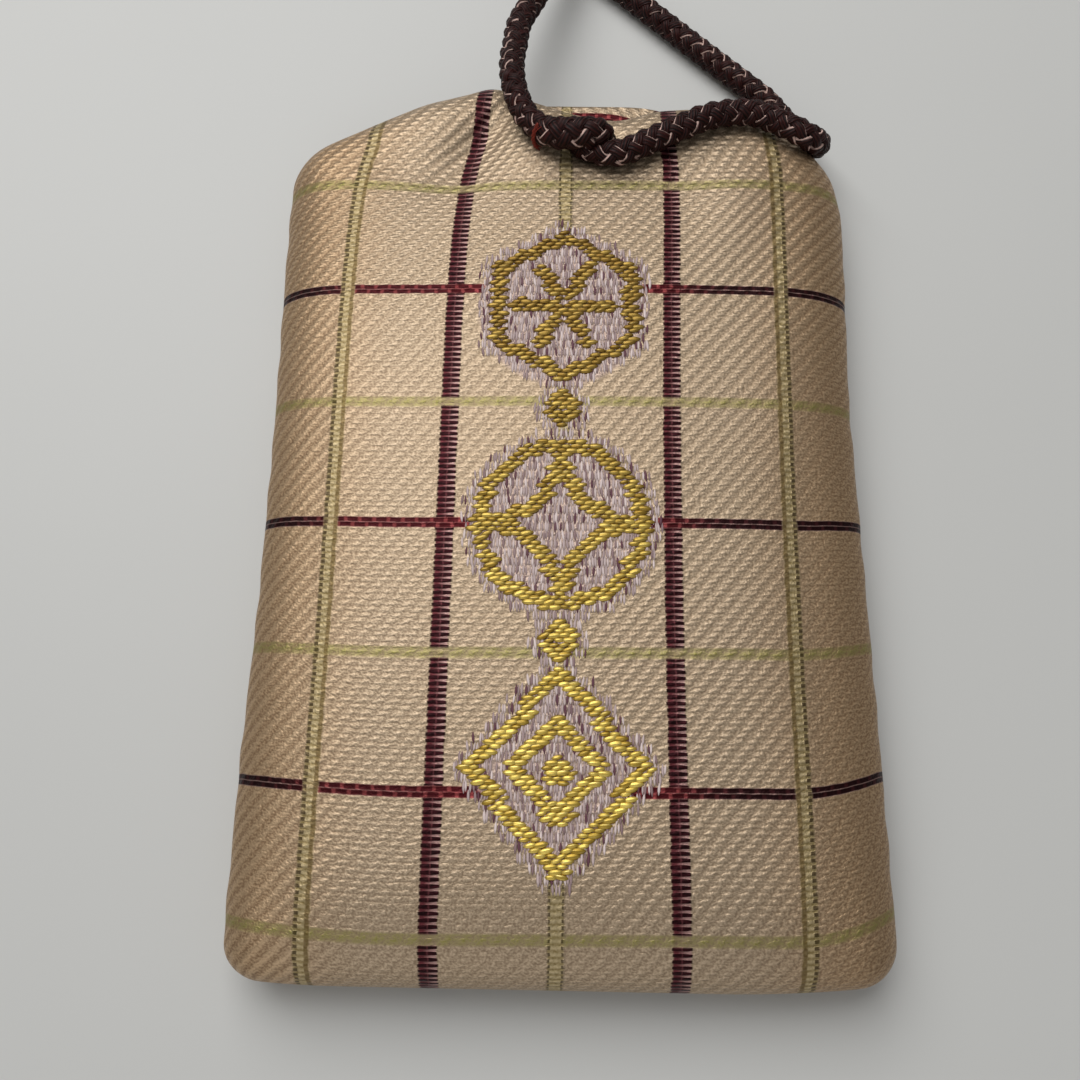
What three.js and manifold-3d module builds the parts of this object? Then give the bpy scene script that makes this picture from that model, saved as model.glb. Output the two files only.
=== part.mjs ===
// Padded brocade charm pouch that lies on its back, tied with a braided cord loop.
// Millimetres, +Z up. X is the pouch's width and +Y points to its mouth. The back
// cloth rests on z = 0, and the origin is the middle of the pouch's footprint.
import * as THREE from 'three';
import { mergeVertices } from 'three/addons/utils/BufferGeometryUtils.js';
import Module from 'manifold-3d';

// Driving dimensions of the pouch
const POUCH_WIDTH = 50;
const POUCH_HEIGHT = 78;
const POUCH_THICKNESS = 8;
const SEAM_HEIGHT = 3.6;
const CROWN = 1.0;
const EDGE_ROUND = 4.2;
const SHOULDER_DROP = 6.5;
const MOUTH_FLAT = 24.6;
const BOTTOM_CORNER_RADIUS = 3;
const LEFT_SHOULDER_RADIUS = 6;
const RIGHT_SHOULDER_RADIUS = 10.5;
const MOUTH_CORNER_RADIUS = 8;
const MOUTH_WIDTH = 16;
const MOUTH_OPENING = 2;

// Driving dimensions of the layers
const CLOTH = 0.5;
const INTERLINING = 0.3;
const SEAM_ALLOWANCE = 4;
const SEAM_LINE = 2;
const THREAD_RADIUS = 0.15;
const BACK_WADDING = 1.1;
const BOARD_WIDTH = 36;
const BOARD_THICKNESS = 2;
const BOARD_PEAK = 3;
const PAPER = 0.2;
const SLIP_TRAVEL = 3;

// Driving dimensions of the cord
const CORD_DIAMETER = 2.4;
const KNOT_SCALE = 0.565 * CORD_DIAMETER;
const KNOT_LOBE = 2.8;
const KNOT_FLATNESS = 1.6;
const KNOT_TURN = 0.6;
const LOOP_REACH = 50.5;
const TACK_RADIUS = 0.28;

// Clearances
const SEAM_GAP = 0.1;
const LAYER_GAP = 0.15;
const PIECE_GAP = 0.3;

// Values that follow from the dimensions
const HALF_WIDTH = POUCH_WIDTH / 2;
const TOP = POUCH_HEIGHT / 2;
const BOTTOM = -TOP;
const CORD_RADIUS = CORD_DIAMETER / 2;
const FRONT_BASE = SEAM_HEIGHT + SEAM_GAP;
const BACK_BASE = SEAM_HEIGHT - SEAM_GAP;
const EDGE_RISE = POUCH_THICKNESS - FRONT_BASE - CROWN;
const TABLE_CORD = CORD_RADIUS + 0.05;
const CORD_LIFT = CORD_RADIUS + PIECE_GAP;
const CORNER_SEGMENTS = 5;
const SMALLEST_RADIUS = 0.5;

const wasm = await Module();
wasm.setup();

// Turns a closed geometry into a solid for joining and cutting.
function solid(geometry) {
  const bare = geometry.clone();
  bare.deleteAttribute('normal');
  bare.deleteAttribute('uv');
  const merged = mergeVertices(bare, 1e-4);
  return new wasm.Manifold(new wasm.Mesh({
    numProp: 3,
    vertProperties: new Float32Array(merged.attributes.position.array),
    triVerts: new Uint32Array(merged.index.array),
  }));
}

// Turns a solid back into a geometry.
function geometryOf(body) {
  const mesh = body.getMesh();
  const geometry = new THREE.BufferGeometry();
  geometry.setAttribute('position', new THREE.BufferAttribute(new Float32Array(mesh.vertProperties), 3));
  geometry.setIndex(new THREE.BufferAttribute(new Uint32Array(mesh.triVerts), 1));
  geometry.computeVertexNormals();
  return geometry;
}

// The sharp corners of the pouch's outline, counter-clockwise, with their radii.
const corners = [
  { x: HALF_WIDTH, y: BOTTOM, radius: BOTTOM_CORNER_RADIUS },
  { x: HALF_WIDTH, y: TOP - SHOULDER_DROP, radius: RIGHT_SHOULDER_RADIUS },
  { x: MOUTH_FLAT / 2, y: TOP, radius: MOUTH_CORNER_RADIUS },
  { x: -MOUTH_FLAT / 2, y: TOP, radius: MOUTH_CORNER_RADIUS },
  { x: -HALF_WIDTH, y: TOP - SHOULDER_DROP, radius: LEFT_SHOULDER_RADIUS },
  { x: -HALF_WIDTH, y: BOTTOM, radius: BOTTOM_CORNER_RADIUS },
];

// Each side of the outline as a point on it, its direction and its inward normal.
const sides = corners.map((corner, i) => {
  const next = corners[(i + 1) % corners.length];
  const along = new THREE.Vector2(next.x - corner.x, next.y - corner.y).normalize();
  return { start: new THREE.Vector2(corner.x, corner.y), along, inward: new THREE.Vector2(-along.y, along.x) };
});

// How far a point lies inside the sharp outline.
function insetAt(x, y) {
  const point = new THREE.Vector2(x, y);
  return Math.min(...sides.map((side) => point.clone().sub(side.start).dot(side.inward)));
}

// The outline moved inwards, as a list of points with the corners rounded.
function outline(inset) {
  const moved = sides.map((side) => ({
    start: side.start.clone().addScaledVector(side.inward, inset),
    along: side.along,
    inward: side.inward,
  }));
  const points = [];
  corners.forEach((corner, i) => {
    const before = moved[(i + moved.length - 1) % moved.length];
    const after = moved[i];
    const turn = Math.acos(THREE.MathUtils.clamp(before.along.dot(after.along), -1, 1));
    const cross = before.along.x * after.along.y - before.along.y * after.along.x;
    const between = after.start.clone().sub(before.start);
    const reach = (between.x * after.along.y - between.y * after.along.x) / cross;
    const tip = before.start.clone().addScaledVector(before.along, reach);
    const radius = Math.max(corner.radius - inset, SMALLEST_RADIUS);
    const tangent = radius * Math.tan(turn / 2);
    const centre = tip.clone().addScaledVector(before.along, -tangent).addScaledVector(before.inward, radius);
    const firstAngle = Math.atan2(-before.inward.y, -before.inward.x);
    for (let step = 0; step <= CORNER_SEGMENTS; step += 1) {
      const angle = firstAngle + turn * step / CORNER_SEGMENTS;
      points.push(new THREE.Vector2(centre.x + radius * Math.cos(angle), centre.y + radius * Math.sin(angle)));
    }
  });
  return points;
}

// One ring of vertices: the outline at an inset, shrunk about the middle by shrink, at height z.
function ring({ inset, z, shrink = 1 }) {
  return outline(inset).map((p) => new THREE.Vector3(p.x * shrink, p.y * shrink, z));
}

// A closed skin through rings of equal length, with a fan to a centre at both ends.
function loft(rings, firstTip, lastTip) {
  const count = rings[0].length;
  const positions = rings.flat().concat([firstTip, lastTip]).flatMap((v) => [v.x, v.y, v.z]);
  const first = rings.length * count;
  const indices = [];
  for (let i = 0; i < count; i += 1) {
    const j = (i + 1) % count;
    indices.push(first, i, j);
    for (let k = 0; k + 1 < rings.length; k += 1) {
      const a = k * count;
      const b = (k + 1) * count;
      indices.push(a + i, b + i, b + j, a + i, b + j, a + j);
    }
    const last = (rings.length - 1) * count;
    indices.push(first + 1, last + j, last + i);
  }
  const geometry = new THREE.BufferGeometry();
  geometry.setAttribute('position', new THREE.BufferAttribute(new Float32Array(positions), 3));
  geometry.setIndex(indices);
  return geometry;
}

// Height that the crown adds at an inset.
function crownAt(inset) {
  const share = THREE.MathUtils.clamp(inset / HALF_WIDTH, 0, 1);
  return CROWN * (1 - (1 - share) ** 2);
}

// Height of the front cloth's outer face over a point.
function frontHeight(x, y) {
  const inset = Math.max(insetAt(x, y), 0);
  const share = THREE.MathUtils.clamp(inset / EDGE_ROUND, 0, 1);
  return FRONT_BASE + EDGE_RISE * Math.sqrt(1 - (1 - share) ** 2) + crownAt(inset);
}

const EDGE_ANGLES = [0, 0.2, 0.45, 0.72, 1];
const MIDDLE_INSETS = [8, 12];
const MIDDLE_SHRINK = 0.5;

// Rings of the front face at a depth under its outer side, from the rolled edge to
// the middle: a quarter ellipse, then the crown.
function frontRings(depth, lowest) {
  const rise = EDGE_RISE - depth;
  const reach = EDGE_ROUND - depth;
  const startAngle = Math.asin(THREE.MathUtils.clamp((lowest - FRONT_BASE) / rise, 0, 1));
  const rings = EDGE_ANGLES.map((share) => {
    const angle = startAngle + (Math.PI / 2 - startAngle) * share;
    const inset = EDGE_ROUND - reach * Math.cos(angle);
    const bare = FRONT_BASE + rise * Math.sin(angle);
    const fade = THREE.MathUtils.clamp((bare - lowest) / (FRONT_BASE + rise - lowest), 0, 1);
    return { inset, z: bare + crownAt(inset) * fade };
  });
  MIDDLE_INSETS.forEach((inset) => rings.push({ inset, z: FRONT_BASE + rise + crownAt(inset) }));
  const last = MIDDLE_INSETS[MIDDLE_INSETS.length - 1];
  rings.push({ inset: last, z: FRONT_BASE + rise + crownAt(0.8 * HALF_WIDTH), shrink: MIDDLE_SHRINK });
  return rings;
}

// Rings of the back face at a depth over its outer side, from the edge to the flat.
function backRings(depth, highest) {
  const drop = BACK_BASE - depth;
  const reach = EDGE_ROUND - depth;
  const startAngle = Math.asin(THREE.MathUtils.clamp((BACK_BASE - highest) / drop, 0, 1));
  return EDGE_ANGLES.map((share) => {
    const angle = startAngle + (Math.PI / 2 - startAngle) * share;
    return { inset: EDGE_ROUND - reach * Math.cos(angle), z: BACK_BASE - drop * Math.sin(angle) };
  });
}

const middle = (z) => new THREE.Vector3(0, 0, z);
const FRONT_TOP = (depth) => FRONT_BASE + EDGE_RISE - depth + CROWN;

// Cutter for the mouth: a slot between the two lips at the middle of the top edge.
const mouthCutter = new THREE.BoxGeometry(MOUTH_WIDTH, 2 * SEAM_ALLOWANCE + 4, MOUTH_OPENING);
mouthCutter.translate(0, TOP, SEAM_HEIGHT);

// Where the two strands dive into the eyelet slit
const leftDive = new THREE.Vector2(3.35, TOP - 6.9);
const rightDive = leftDive.clone().add(new THREE.Vector2(-0.69 * CORD_DIAMETER, -0.855 * CORD_DIAMETER));
const eyeletCentre = leftDive.clone().add(rightDive).multiplyScalar(0.5);
const eyeletAngle = Math.atan2(leftDive.y - rightDive.y, leftDive.x - rightDive.x);
const eyeletHalfLength = leftDive.distanceTo(rightDive) / 2;
const eyeletRadius = CORD_RADIUS + PIECE_GAP;

// Cutter for the eyelet: a slit with round ends, wide enough for both strands.
const eyeletShape = new THREE.Shape();
eyeletShape.absarc(eyeletHalfLength, 0, eyeletRadius, -Math.PI / 2, Math.PI / 2, false);
eyeletShape.absarc(-eyeletHalfLength, 0, eyeletRadius, Math.PI / 2, 3 * Math.PI / 2, false);
const eyeletCutter = new THREE.ExtrudeGeometry(eyeletShape, {
  depth: POUCH_THICKNESS, bevelEnabled: false, curveSegments: 6,
});
eyeletCutter.rotateZ(eyeletAngle);
eyeletCutter.translate(eyeletCentre.x, eyeletCentre.y, SEAM_HEIGHT + 1.2);

// Front brocade cloth: outer face, rolled edge, seam allowance turned in, inner face.
function makeFrontPanel() {
  const flangeTop = FRONT_BASE + CLOTH;
  const rings = [
    ...frontRings(0, FRONT_BASE).reverse(),
    { inset: SEAM_ALLOWANCE, z: FRONT_BASE },
    { inset: SEAM_ALLOWANCE, z: flangeTop },
    ...frontRings(CLOTH, flangeTop),
  ];
  const shell = loft(rings.map(ring), middle(FRONT_TOP(0)), middle(FRONT_TOP(CLOTH)));
  return geometryOf(solid(shell).subtract(solid(mouthCutter)).subtract(solid(eyeletCutter)));
}

// Back brocade cloth: the same turned edge, with a flat face to lie on.
function makeBackPanel() {
  const flangeBottom = BACK_BASE - CLOTH;
  const rings = [
    ...backRings(CLOTH, flangeBottom).reverse(),
    { inset: SEAM_ALLOWANCE, z: flangeBottom },
    { inset: SEAM_ALLOWANCE, z: BACK_BASE },
    ...backRings(0, BACK_BASE),
  ];
  const shell = loft(rings.map(ring), middle(CLOTH), middle(0));
  return geometryOf(solid(shell).subtract(solid(mouthCutter)));
}

// Stiff interlining under the front cloth, pierced by the same eyelet.
const INTERLINING_LOW = FRONT_BASE + CLOTH + 4 * THREAD_RADIUS + 2 * LAYER_GAP;
function makeFrontInterlining() {
  const outer = CLOTH + LAYER_GAP;
  const inner = outer + INTERLINING;
  const rings = [...frontRings(outer, INTERLINING_LOW).reverse(), ...frontRings(inner, INTERLINING_LOW)];
  const shell = loft(rings.map(ring), middle(FRONT_TOP(outer)), middle(FRONT_TOP(inner)));
  return geometryOf(solid(shell).subtract(solid(eyeletCutter)));
}

// A flat sheet or slab with the pouch's outline at an inset.
function slab(inset, low, high) {
  const rings = [{ inset, z: high }, { inset, z: low }];
  return loft(rings.map(ring), middle(high), middle(low));
}

// Stack of layers from the back cloth up, each clear of the next
const BACK_INTERLINING_LOW = CLOTH + LAYER_GAP;
const BACK_WADDING_LOW = BACK_INTERLINING_LOW + INTERLINING + LAYER_GAP;
const WRAPPER_LOW = BACK_WADDING_LOW + BACK_WADDING + LAYER_GAP;
const BOARD_LOW = WRAPPER_LOW + PAPER + LAYER_GAP;
const WRAPPER_HIGH = BOARD_LOW + BOARD_THICKNESS + LAYER_GAP + PAPER;
const FRONT_WADDING_LOW = WRAPPER_HIGH + LAYER_GAP;
const FLAT_INSET = EDGE_ROUND + LAYER_GAP;
const WADDING_INSET = SEAM_ALLOWANCE + PIECE_GAP;

// The overhand knot lies in the neck, above the top of the wadding and the tablet.
const knotHeight = CORD_RADIUS + 0.2;
const knotSetback = 2.5 * KNOT_SCALE;
const knotCentre = new THREE.Vector3(
  eyeletCentre.x + knotSetback * Math.sin(KNOT_TURN),
  eyeletCentre.y - knotSetback * Math.cos(KNOT_TURN),
  SEAM_HEIGHT,
);
const NECK = knotCentre.y - (1 + KNOT_LOBE) * KNOT_SCALE - CORD_RADIUS - PIECE_GAP;

// Cutter that ends both waddings below the knot.
const neckCutter = new THREE.BoxGeometry(2 * POUCH_WIDTH, POUCH_HEIGHT, 4 * POUCH_THICKNESS);
neckCutter.translate(0, NECK + POUCH_HEIGHT / 2, 0);

// Wadding under the front interlining: crowned on top and flat below.
function makeFrontWadding() {
  const depth = CLOTH + INTERLINING + 2 * LAYER_GAP;
  const top = frontRings(depth, INTERLINING_LOW).filter((r) => r.inset > WADDING_INSET * 0.9);
  const low = { ...top[0], z: FRONT_WADDING_LOW };
  const rings = [...top.reverse(), low];
  const shell = loft(rings.map(ring), middle(FRONT_TOP(depth)), middle(FRONT_WADDING_LOW));
  return geometryOf(solid(shell).subtract(solid(neckCutter)));
}

function makeBackWadding() {
  const shell = slab(WADDING_INSET + 1, BACK_WADDING_LOW, BACK_WADDING_LOW + BACK_WADDING);
  return geometryOf(solid(shell).subtract(solid(neckCutter)));
}

// The tablet rests on the bottom of its pocket, just above the bottom seam allowance.
const BOARD_BOTTOM = BOTTOM + SEAM_ALLOWANCE + PIECE_GAP + PAPER;

// Its height leaves it free to slide by SLIP_TRAVEL before it meets the knot.
const BOARD_HEIGHT = NECK - PIECE_GAP - SLIP_TRAVEL - BOARD_BOTTOM;

// Wooden tablet with a low peaked top.
function makeBoard() {
  const half = BOARD_WIDTH / 2;
  const shape = new THREE.Shape();
  shape.moveTo(-half, 0);
  shape.lineTo(half, 0);
  shape.lineTo(half, BOARD_HEIGHT - BOARD_PEAK);
  shape.lineTo(0, BOARD_HEIGHT);
  shape.lineTo(-half, BOARD_HEIGHT - BOARD_PEAK);
  shape.closePath();
  const geometry = new THREE.ExtrudeGeometry(shape, { depth: BOARD_THICKNESS, bevelEnabled: false });
  geometry.translate(0, BOARD_BOTTOM, BOARD_LOW);
  return geometry;
}

// Paper sleeve folded round the tablet, open at both ends.
function makeWrapper() {
  const halfInside = BOARD_WIDTH / 2 + LAYER_GAP;
  const inside = BOARD_THICKNESS + 2 * LAYER_GAP;
  const shape = new THREE.Shape();
  shape.moveTo(-halfInside - PAPER, 0);
  shape.lineTo(halfInside + PAPER, 0);
  shape.lineTo(halfInside + PAPER, inside + 2 * PAPER);
  shape.lineTo(-halfInside - PAPER, inside + 2 * PAPER);
  shape.closePath();
  const hole = new THREE.Path();
  hole.moveTo(-halfInside, PAPER);
  hole.lineTo(-halfInside, PAPER + inside);
  hole.lineTo(halfInside, PAPER + inside);
  hole.lineTo(halfInside, PAPER);
  hole.closePath();
  shape.holes.push(hole);
  const length = BOARD_HEIGHT - 2 * BOARD_PEAK;
  const geometry = new THREE.ExtrudeGeometry(shape, { depth: length, bevelEnabled: false });
  geometry.rotateX(Math.PI / 2);
  geometry.translate(0, BOARD_BOTTOM + length, WRAPPER_LOW);
  return geometry;
}

// A round section for a tube.
function roundSection(radius, sidesCount) {
  const points = [];
  for (let i = 0; i < sidesCount; i += 1) {
    const angle = 2 * Math.PI * i / sidesCount;
    points.push(new THREE.Vector2(radius * Math.cos(angle), radius * Math.sin(angle)));
  }
  return new THREE.Shape(points);
}

// A tube along a smooth route through points.
function tube(points, radius, sidesCount, steps) {
  const route = new THREE.CatmullRomCurve3(points, false, 'centripetal');
  return new THREE.ExtrudeGeometry(roundSection(radius, sidesCount), {
    steps, bevelEnabled: false, extrudePath: route,
  });
}

// A seam thread that follows the outline from one end of the mouth to the other.
function seamThread(z) {
  const loop = outline(SEAM_LINE);
  const start = loop.findIndex((p) => p.x < -MOUTH_FLAT / 4 && p.y > 0);
  const ordered = loop.slice(start).concat(loop.slice(0, start));
  const clear = ordered.filter((p) => p.y < TOP - SEAM_LINE - 0.3 || Math.abs(p.x) > MOUTH_WIDTH / 2 + 1);
  const points = clear.map((p) => new THREE.Vector3(p.x, p.y, z));
  const route = new THREE.CurvePath();
  for (let i = 0; i + 1 < points.length; i += 1) {
    route.add(new THREE.LineCurve3(points[i], points[i + 1]));
  }
  const smooth = new THREE.CatmullRomCurve3(route.getSpacedPoints(72), false, 'centripetal');
  return new THREE.ExtrudeGeometry(roundSection(THREAD_RADIUS, 5), {
    steps: 72, bevelEnabled: false, extrudePath: smooth,
  });
}
const NEEDLE_HEIGHT = FRONT_BASE + CLOTH + LAYER_GAP + THREAD_RADIUS;
const BOBBIN_HEIGHT = BACK_BASE - CLOTH - LAYER_GAP - THREAD_RADIUS;

// Points of the cord's route. Those on the pouch lie on its front face.
const at = (x, y, z) => new THREE.Vector3(x, y, z);
const onFace = (x, y, lift = 0) => at(x, y, frontHeight(x, y) + CORD_LIFT + lift);

// The hinge line of the hanging loop passes through these two points.
const leftPivot = at(-4.8, TOP + 2.8, POUCH_THICKNESS - 0.1);
const rightPivot = at(HALF_WIDTH - 6.2, TOP + 2.8, TABLE_CORD);
const PIVOT_SETBACK = CORD_RADIUS + PIECE_GAP;

// The point that lies a set distance from a pivot towards the next point.
function setBack(pivot, towards) {
  return pivot.clone().addScaledVector(towards.clone().sub(pivot).normalize(), PIVOT_SETBACK);
}

// Left strand: from the hinge line over the lip, along the front and down into the slit.
function makeLeftStrand() {
  const overLip = at(-5, TOP + 0.9, POUCH_THICKNESS + 0.25);
  const points = [
    setBack(leftPivot, overLip),
    overLip,
    at(-4.85, TOP - 1.6, POUCH_THICKNESS + 0.7),
    at(-4.25, TOP - 4.1, POUCH_THICKNESS + 1.1),
    at(-3.2, TOP - 6, POUCH_THICKNESS + 1.6),
    at(-1.7, TOP - 7.35, POUCH_THICKNESS + 2.15),
    at(0.2, TOP - 8, POUCH_THICKNESS + 2.55),
    at(1.9, TOP - 7.75, POUCH_THICKNESS + 2.45),
    at(leftDive.x - 0.5, leftDive.y - 0.25, POUCH_THICKNESS + 1.65),
    at(leftDive.x - 0.05, leftDive.y - 0.05, POUCH_THICKNESS + 0.25),
    at(leftDive.x, leftDive.y, SEAM_HEIGHT + knotHeight + CORD_RADIUS + 0.5),
  ];
  return tube(points, CORD_RADIUS, 8, 16);
}

// Shoulder strand: up out of the slit, along the right shoulder, round its corner and
// down to the table.
function makeShoulderStrand() {
  const lastRun = at(HALF_WIDTH - 5.6, TOP + 2.2, TABLE_CORD);
  const points = [
    at(rightDive.x, rightDive.y, SEAM_HEIGHT + knotHeight + CORD_RADIUS + 0.5),
    at(rightDive.x, rightDive.y - 0.05, POUCH_THICKNESS - 0.6),
    at(rightDive.x + 0.42, rightDive.y - 0.2, POUCH_THICKNESS + 0.4),
    at(rightDive.x + 1.4, rightDive.y - 0.5, POUCH_THICKNESS + 0.85),
    onFace(4.2, TOP - 9.5, -0.05),
    onFace(5.3, TOP - 9.15),
    onFace(7.7, TOP - 7.9),
    onFace(10, TOP - 6.65),
    onFace(12.8, TOP - 5.3),
    onFace(HALF_WIDTH - 8.7, TOP - 4.6, 0.1),
    onFace(HALF_WIDTH - 6.4, TOP - 5.2, 0.1),
    onFace(HALF_WIDTH - 4.6, TOP - 6.2, 0.1),
    at(HALF_WIDTH - 3.3, TOP - 6.5, SEAM_HEIGHT + 3.95),
    at(HALF_WIDTH - 2.25, TOP - 5.95, SEAM_HEIGHT + 2.5),
    at(HALF_WIDTH - 2, TOP - 5, SEAM_HEIGHT + 0.8),
    at(HALF_WIDTH - 2.2, TOP - 3.6, SEAM_HEIGHT - 0.85),
    at(HALF_WIDTH - 2.9, TOP - 2, TABLE_CORD + 0.5),
    at(HALF_WIDTH - 4.2, TOP + 0.2, TABLE_CORD + 0.05),
    lastRun,
    setBack(rightPivot, lastRun),
  ];
  return tube(points, CORD_RADIUS, 8, 30);
}

// Hanging loop: from one pivot out along the table and back to the other. The left
// run passes over the right run, and both ends are round so that the loop can swing.
function makeHangingLoop() {
  const far = TOP + LOOP_REACH;
  const low = TABLE_CORD;
  const points = [
    leftPivot,
    at(-4.5, TOP + 5.6, POUCH_THICKNESS - 0.7),
    at(-3.2, TOP + 9.3, POUCH_THICKNESS - 1.7),
    at(-1.6, TOP + 14, low + 3.75),
    at(0.3, TOP + 19, low + 2.6),
    at(2.4, TOP + 24.5, low + 1.2),
    at(5, TOP + 31, low + 0.2),
    at(8.2, far - 12.5, low),
    at(8.5, far - 6, low),
    at(4, far - 1, low),
    at(-3, far, low),
    at(-9.5, far - 3, low),
    at(-12.5, far - 9.5, low),
    at(-11.5, far - 16.5, low),
    at(-7.5, TOP + 27.2, low),
    at(-0.5, TOP + 20.5, low),
    at(6.7, TOP + 13.9, low),
    at(13.1, TOP + 8, low),
    rightPivot,
  ];
  let body = solid(tube(points, CORD_RADIUS, 8, 46));
  [leftPivot, rightPivot].forEach((pivot) => {
    const ball = new THREE.SphereGeometry(CORD_RADIUS, 8, 6);
    ball.translate(pivot.x, pivot.y, pivot.z);
    body = body.add(solid(ball));
  });
  return geometryOf(body);
}

// Overhand knot in the cord's ends: an open trefoil that lies flat in the neck.
function makeStopperKnot() {
  const points = [];
  const open = 0.55;
  const count = 40;
  for (let i = 0; i <= count; i += 1) {
    const t = Math.PI + open + (2 * Math.PI - 2 * open) * i / count;
    const level = Math.tanh(KNOT_FLATNESS * Math.sin(3 * t)) / Math.tanh(KNOT_FLATNESS);
    const local = at(
      KNOT_SCALE * (Math.sin(t) + KNOT_LOBE * Math.sin(2 * t)),
      KNOT_SCALE * (Math.cos(t) - KNOT_LOBE * Math.cos(2 * t)),
      -knotHeight * level,
    );
    local.applyAxisAngle(new THREE.Vector3(0, 0, 1), KNOT_TURN + Math.PI);
    points.push(local.add(knotCentre));
  }
  return tube(points, CORD_RADIUS, 8, 52);
}

// Short stitch that ties the bend of the left strand to the cloth.
function makeTack() {
  const foot = frontHeight(-2.3, TOP - 8.25) + TACK_RADIUS + 0.05;
  const points = [
    at(-2.3, TOP - 8.25, foot),
    at(-2.65, TOP - 8.05, foot + 0.6),
    at(-3.1, TOP - 7.85, foot + 1.15),
    at(-3.5, TOP - 7.65, foot + 1.7),
  ];
  return tube(points, TACK_RADIUS, 6, 5);
}

const looks = {
  brocade: { color: 0xb79c78, roughness: 0.75, metalness: 0 },
  interlining: { color: 0xe8e6df, roughness: 0.95, metalness: 0 },
  wadding: { color: 0xf2f0ea, roughness: 1, metalness: 0 },
  wood: { color: 0xd9b98a, roughness: 0.7, metalness: 0 },
  paper: { color: 0xf3efe4, roughness: 0.9, metalness: 0 },
  thread: { color: 0xc9b08c, roughness: 0.7, metalness: 0 },
  cord: { color: 0x241a1a, roughness: 0.65, metalness: 0 },
  tack: { color: 0xa83a24, roughness: 0.7, metalness: 0 },
};

const charm = new THREE.Group();
function piece(name, geometry, look) {
  const mesh = new THREE.Mesh(geometry, new THREE.MeshStandardMaterial(looks[look]));
  mesh.name = name;
  charm.add(mesh);
}

piece('front_panel', makeFrontPanel(), 'brocade');
piece('back_panel', makeBackPanel(), 'brocade');
piece('front_interlining', makeFrontInterlining(), 'interlining');
piece('back_interlining', slab(FLAT_INSET, BACK_INTERLINING_LOW, BACK_INTERLINING_LOW + INTERLINING), 'interlining');
piece('front_wadding', makeFrontWadding(), 'wadding');
piece('back_wadding', makeBackWadding(), 'wadding');
piece('prayer_board', makeBoard(), 'wood');
piece('paper_wrapper', makeWrapper(), 'paper');
piece('seam_needle_thread', seamThread(NEEDLE_HEIGHT), 'thread');
piece('seam_bobbin_thread', seamThread(BOBBIN_HEIGHT), 'thread');
piece('left_strand', makeLeftStrand(), 'cord');
piece('shoulder_strand', makeShoulderStrand(), 'cord');
piece('hanging_loop', makeHangingLoop(), 'cord');
piece('stopper_knot', makeStopperKnot(), 'cord');
piece('tack_stitch', makeTack(), 'tack');

export default charm;
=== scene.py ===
# %% [markdown]
# # A padded brocade charm pouch on a braided cord
#
# The pouch is as long as a finger: two brocade panels sewn edge to edge, wadded, with a
# thin tablet inside and one braided cord hitched through the neck. The CAD frame holds its
# solids, joints and sizes. This lesson dresses that frame in cloth, braid and thread, each
# made from a formula over whole arrays of points, so that a number can be changed and the
# piece made again.

import math

import bpy
import numpy as np
from mathutils import Matrix, Vector


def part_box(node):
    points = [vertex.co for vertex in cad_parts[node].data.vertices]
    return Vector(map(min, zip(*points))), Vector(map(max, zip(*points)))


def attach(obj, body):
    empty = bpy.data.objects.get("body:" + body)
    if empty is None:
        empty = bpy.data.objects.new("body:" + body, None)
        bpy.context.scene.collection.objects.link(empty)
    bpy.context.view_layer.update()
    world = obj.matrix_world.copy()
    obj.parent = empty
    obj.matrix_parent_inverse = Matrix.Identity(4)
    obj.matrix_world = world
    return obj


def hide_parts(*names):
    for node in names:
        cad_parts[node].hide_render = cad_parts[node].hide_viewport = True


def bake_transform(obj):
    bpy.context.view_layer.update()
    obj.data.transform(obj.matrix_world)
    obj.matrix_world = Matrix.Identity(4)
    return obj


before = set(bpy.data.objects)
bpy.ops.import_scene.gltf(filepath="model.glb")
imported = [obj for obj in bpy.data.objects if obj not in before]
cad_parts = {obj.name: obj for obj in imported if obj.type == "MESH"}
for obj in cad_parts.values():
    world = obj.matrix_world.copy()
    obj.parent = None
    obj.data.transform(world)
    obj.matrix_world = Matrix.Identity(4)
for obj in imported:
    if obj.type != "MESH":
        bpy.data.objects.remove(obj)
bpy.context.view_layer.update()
scene = bpy.context.scene
scene.view_settings.view_transform = "Standard"
MM = 0.001

# %% [markdown]
# ## Camera
#
# The photograph is taken close up by a wide lens that leans towards the far end, so near
# things look larger. Three angles, one position and a focal length place such a camera.
# They were found by fitting the corners of the pouch and the crossings of its stripes.

# %% Place the camera
CAMERA_PLACE = np.array([-0.58, -28.9, 90.42])
CAMERA_TILT = math.radians(16.0)
CAMERA_TURN = math.radians(2.6)
CAMERA_ROLL = math.radians(-1.62)
CAMERA_LENS = 36.03
CAMERA_SENSOR = 36.0
CAMERA_NEAR = 0.005

camera = bpy.data.objects.new("camera", bpy.data.cameras.new("camera"))
scene.collection.objects.link(camera)
camera.data.sensor_width = CAMERA_SENSOR
camera.data.lens = CAMERA_LENS
camera.data.clip_start = CAMERA_NEAR
turn = Matrix.Rotation(CAMERA_TURN, 4, "Z")
tilt = Matrix.Rotation(CAMERA_TILT, 4, "X")
roll = Matrix.Rotation(CAMERA_ROLL, 4, "Z")
camera.matrix_world = Matrix.Translation(CAMERA_PLACE * MM) @ turn @ tilt @ roll
scene.camera = camera
print("camera at", list(camera.matrix_world.translation))

# %% [markdown]
# ## Meshes from arrays
#
# Most pieces here are a sheet of points in rows and columns. One function turns such a
# sheet into faces, and another makes the object. The corner map (called weave here) holds
# places in millimetres on the flat cloth or along a thread, so that a pattern follows the
# material and not the room.


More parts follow.
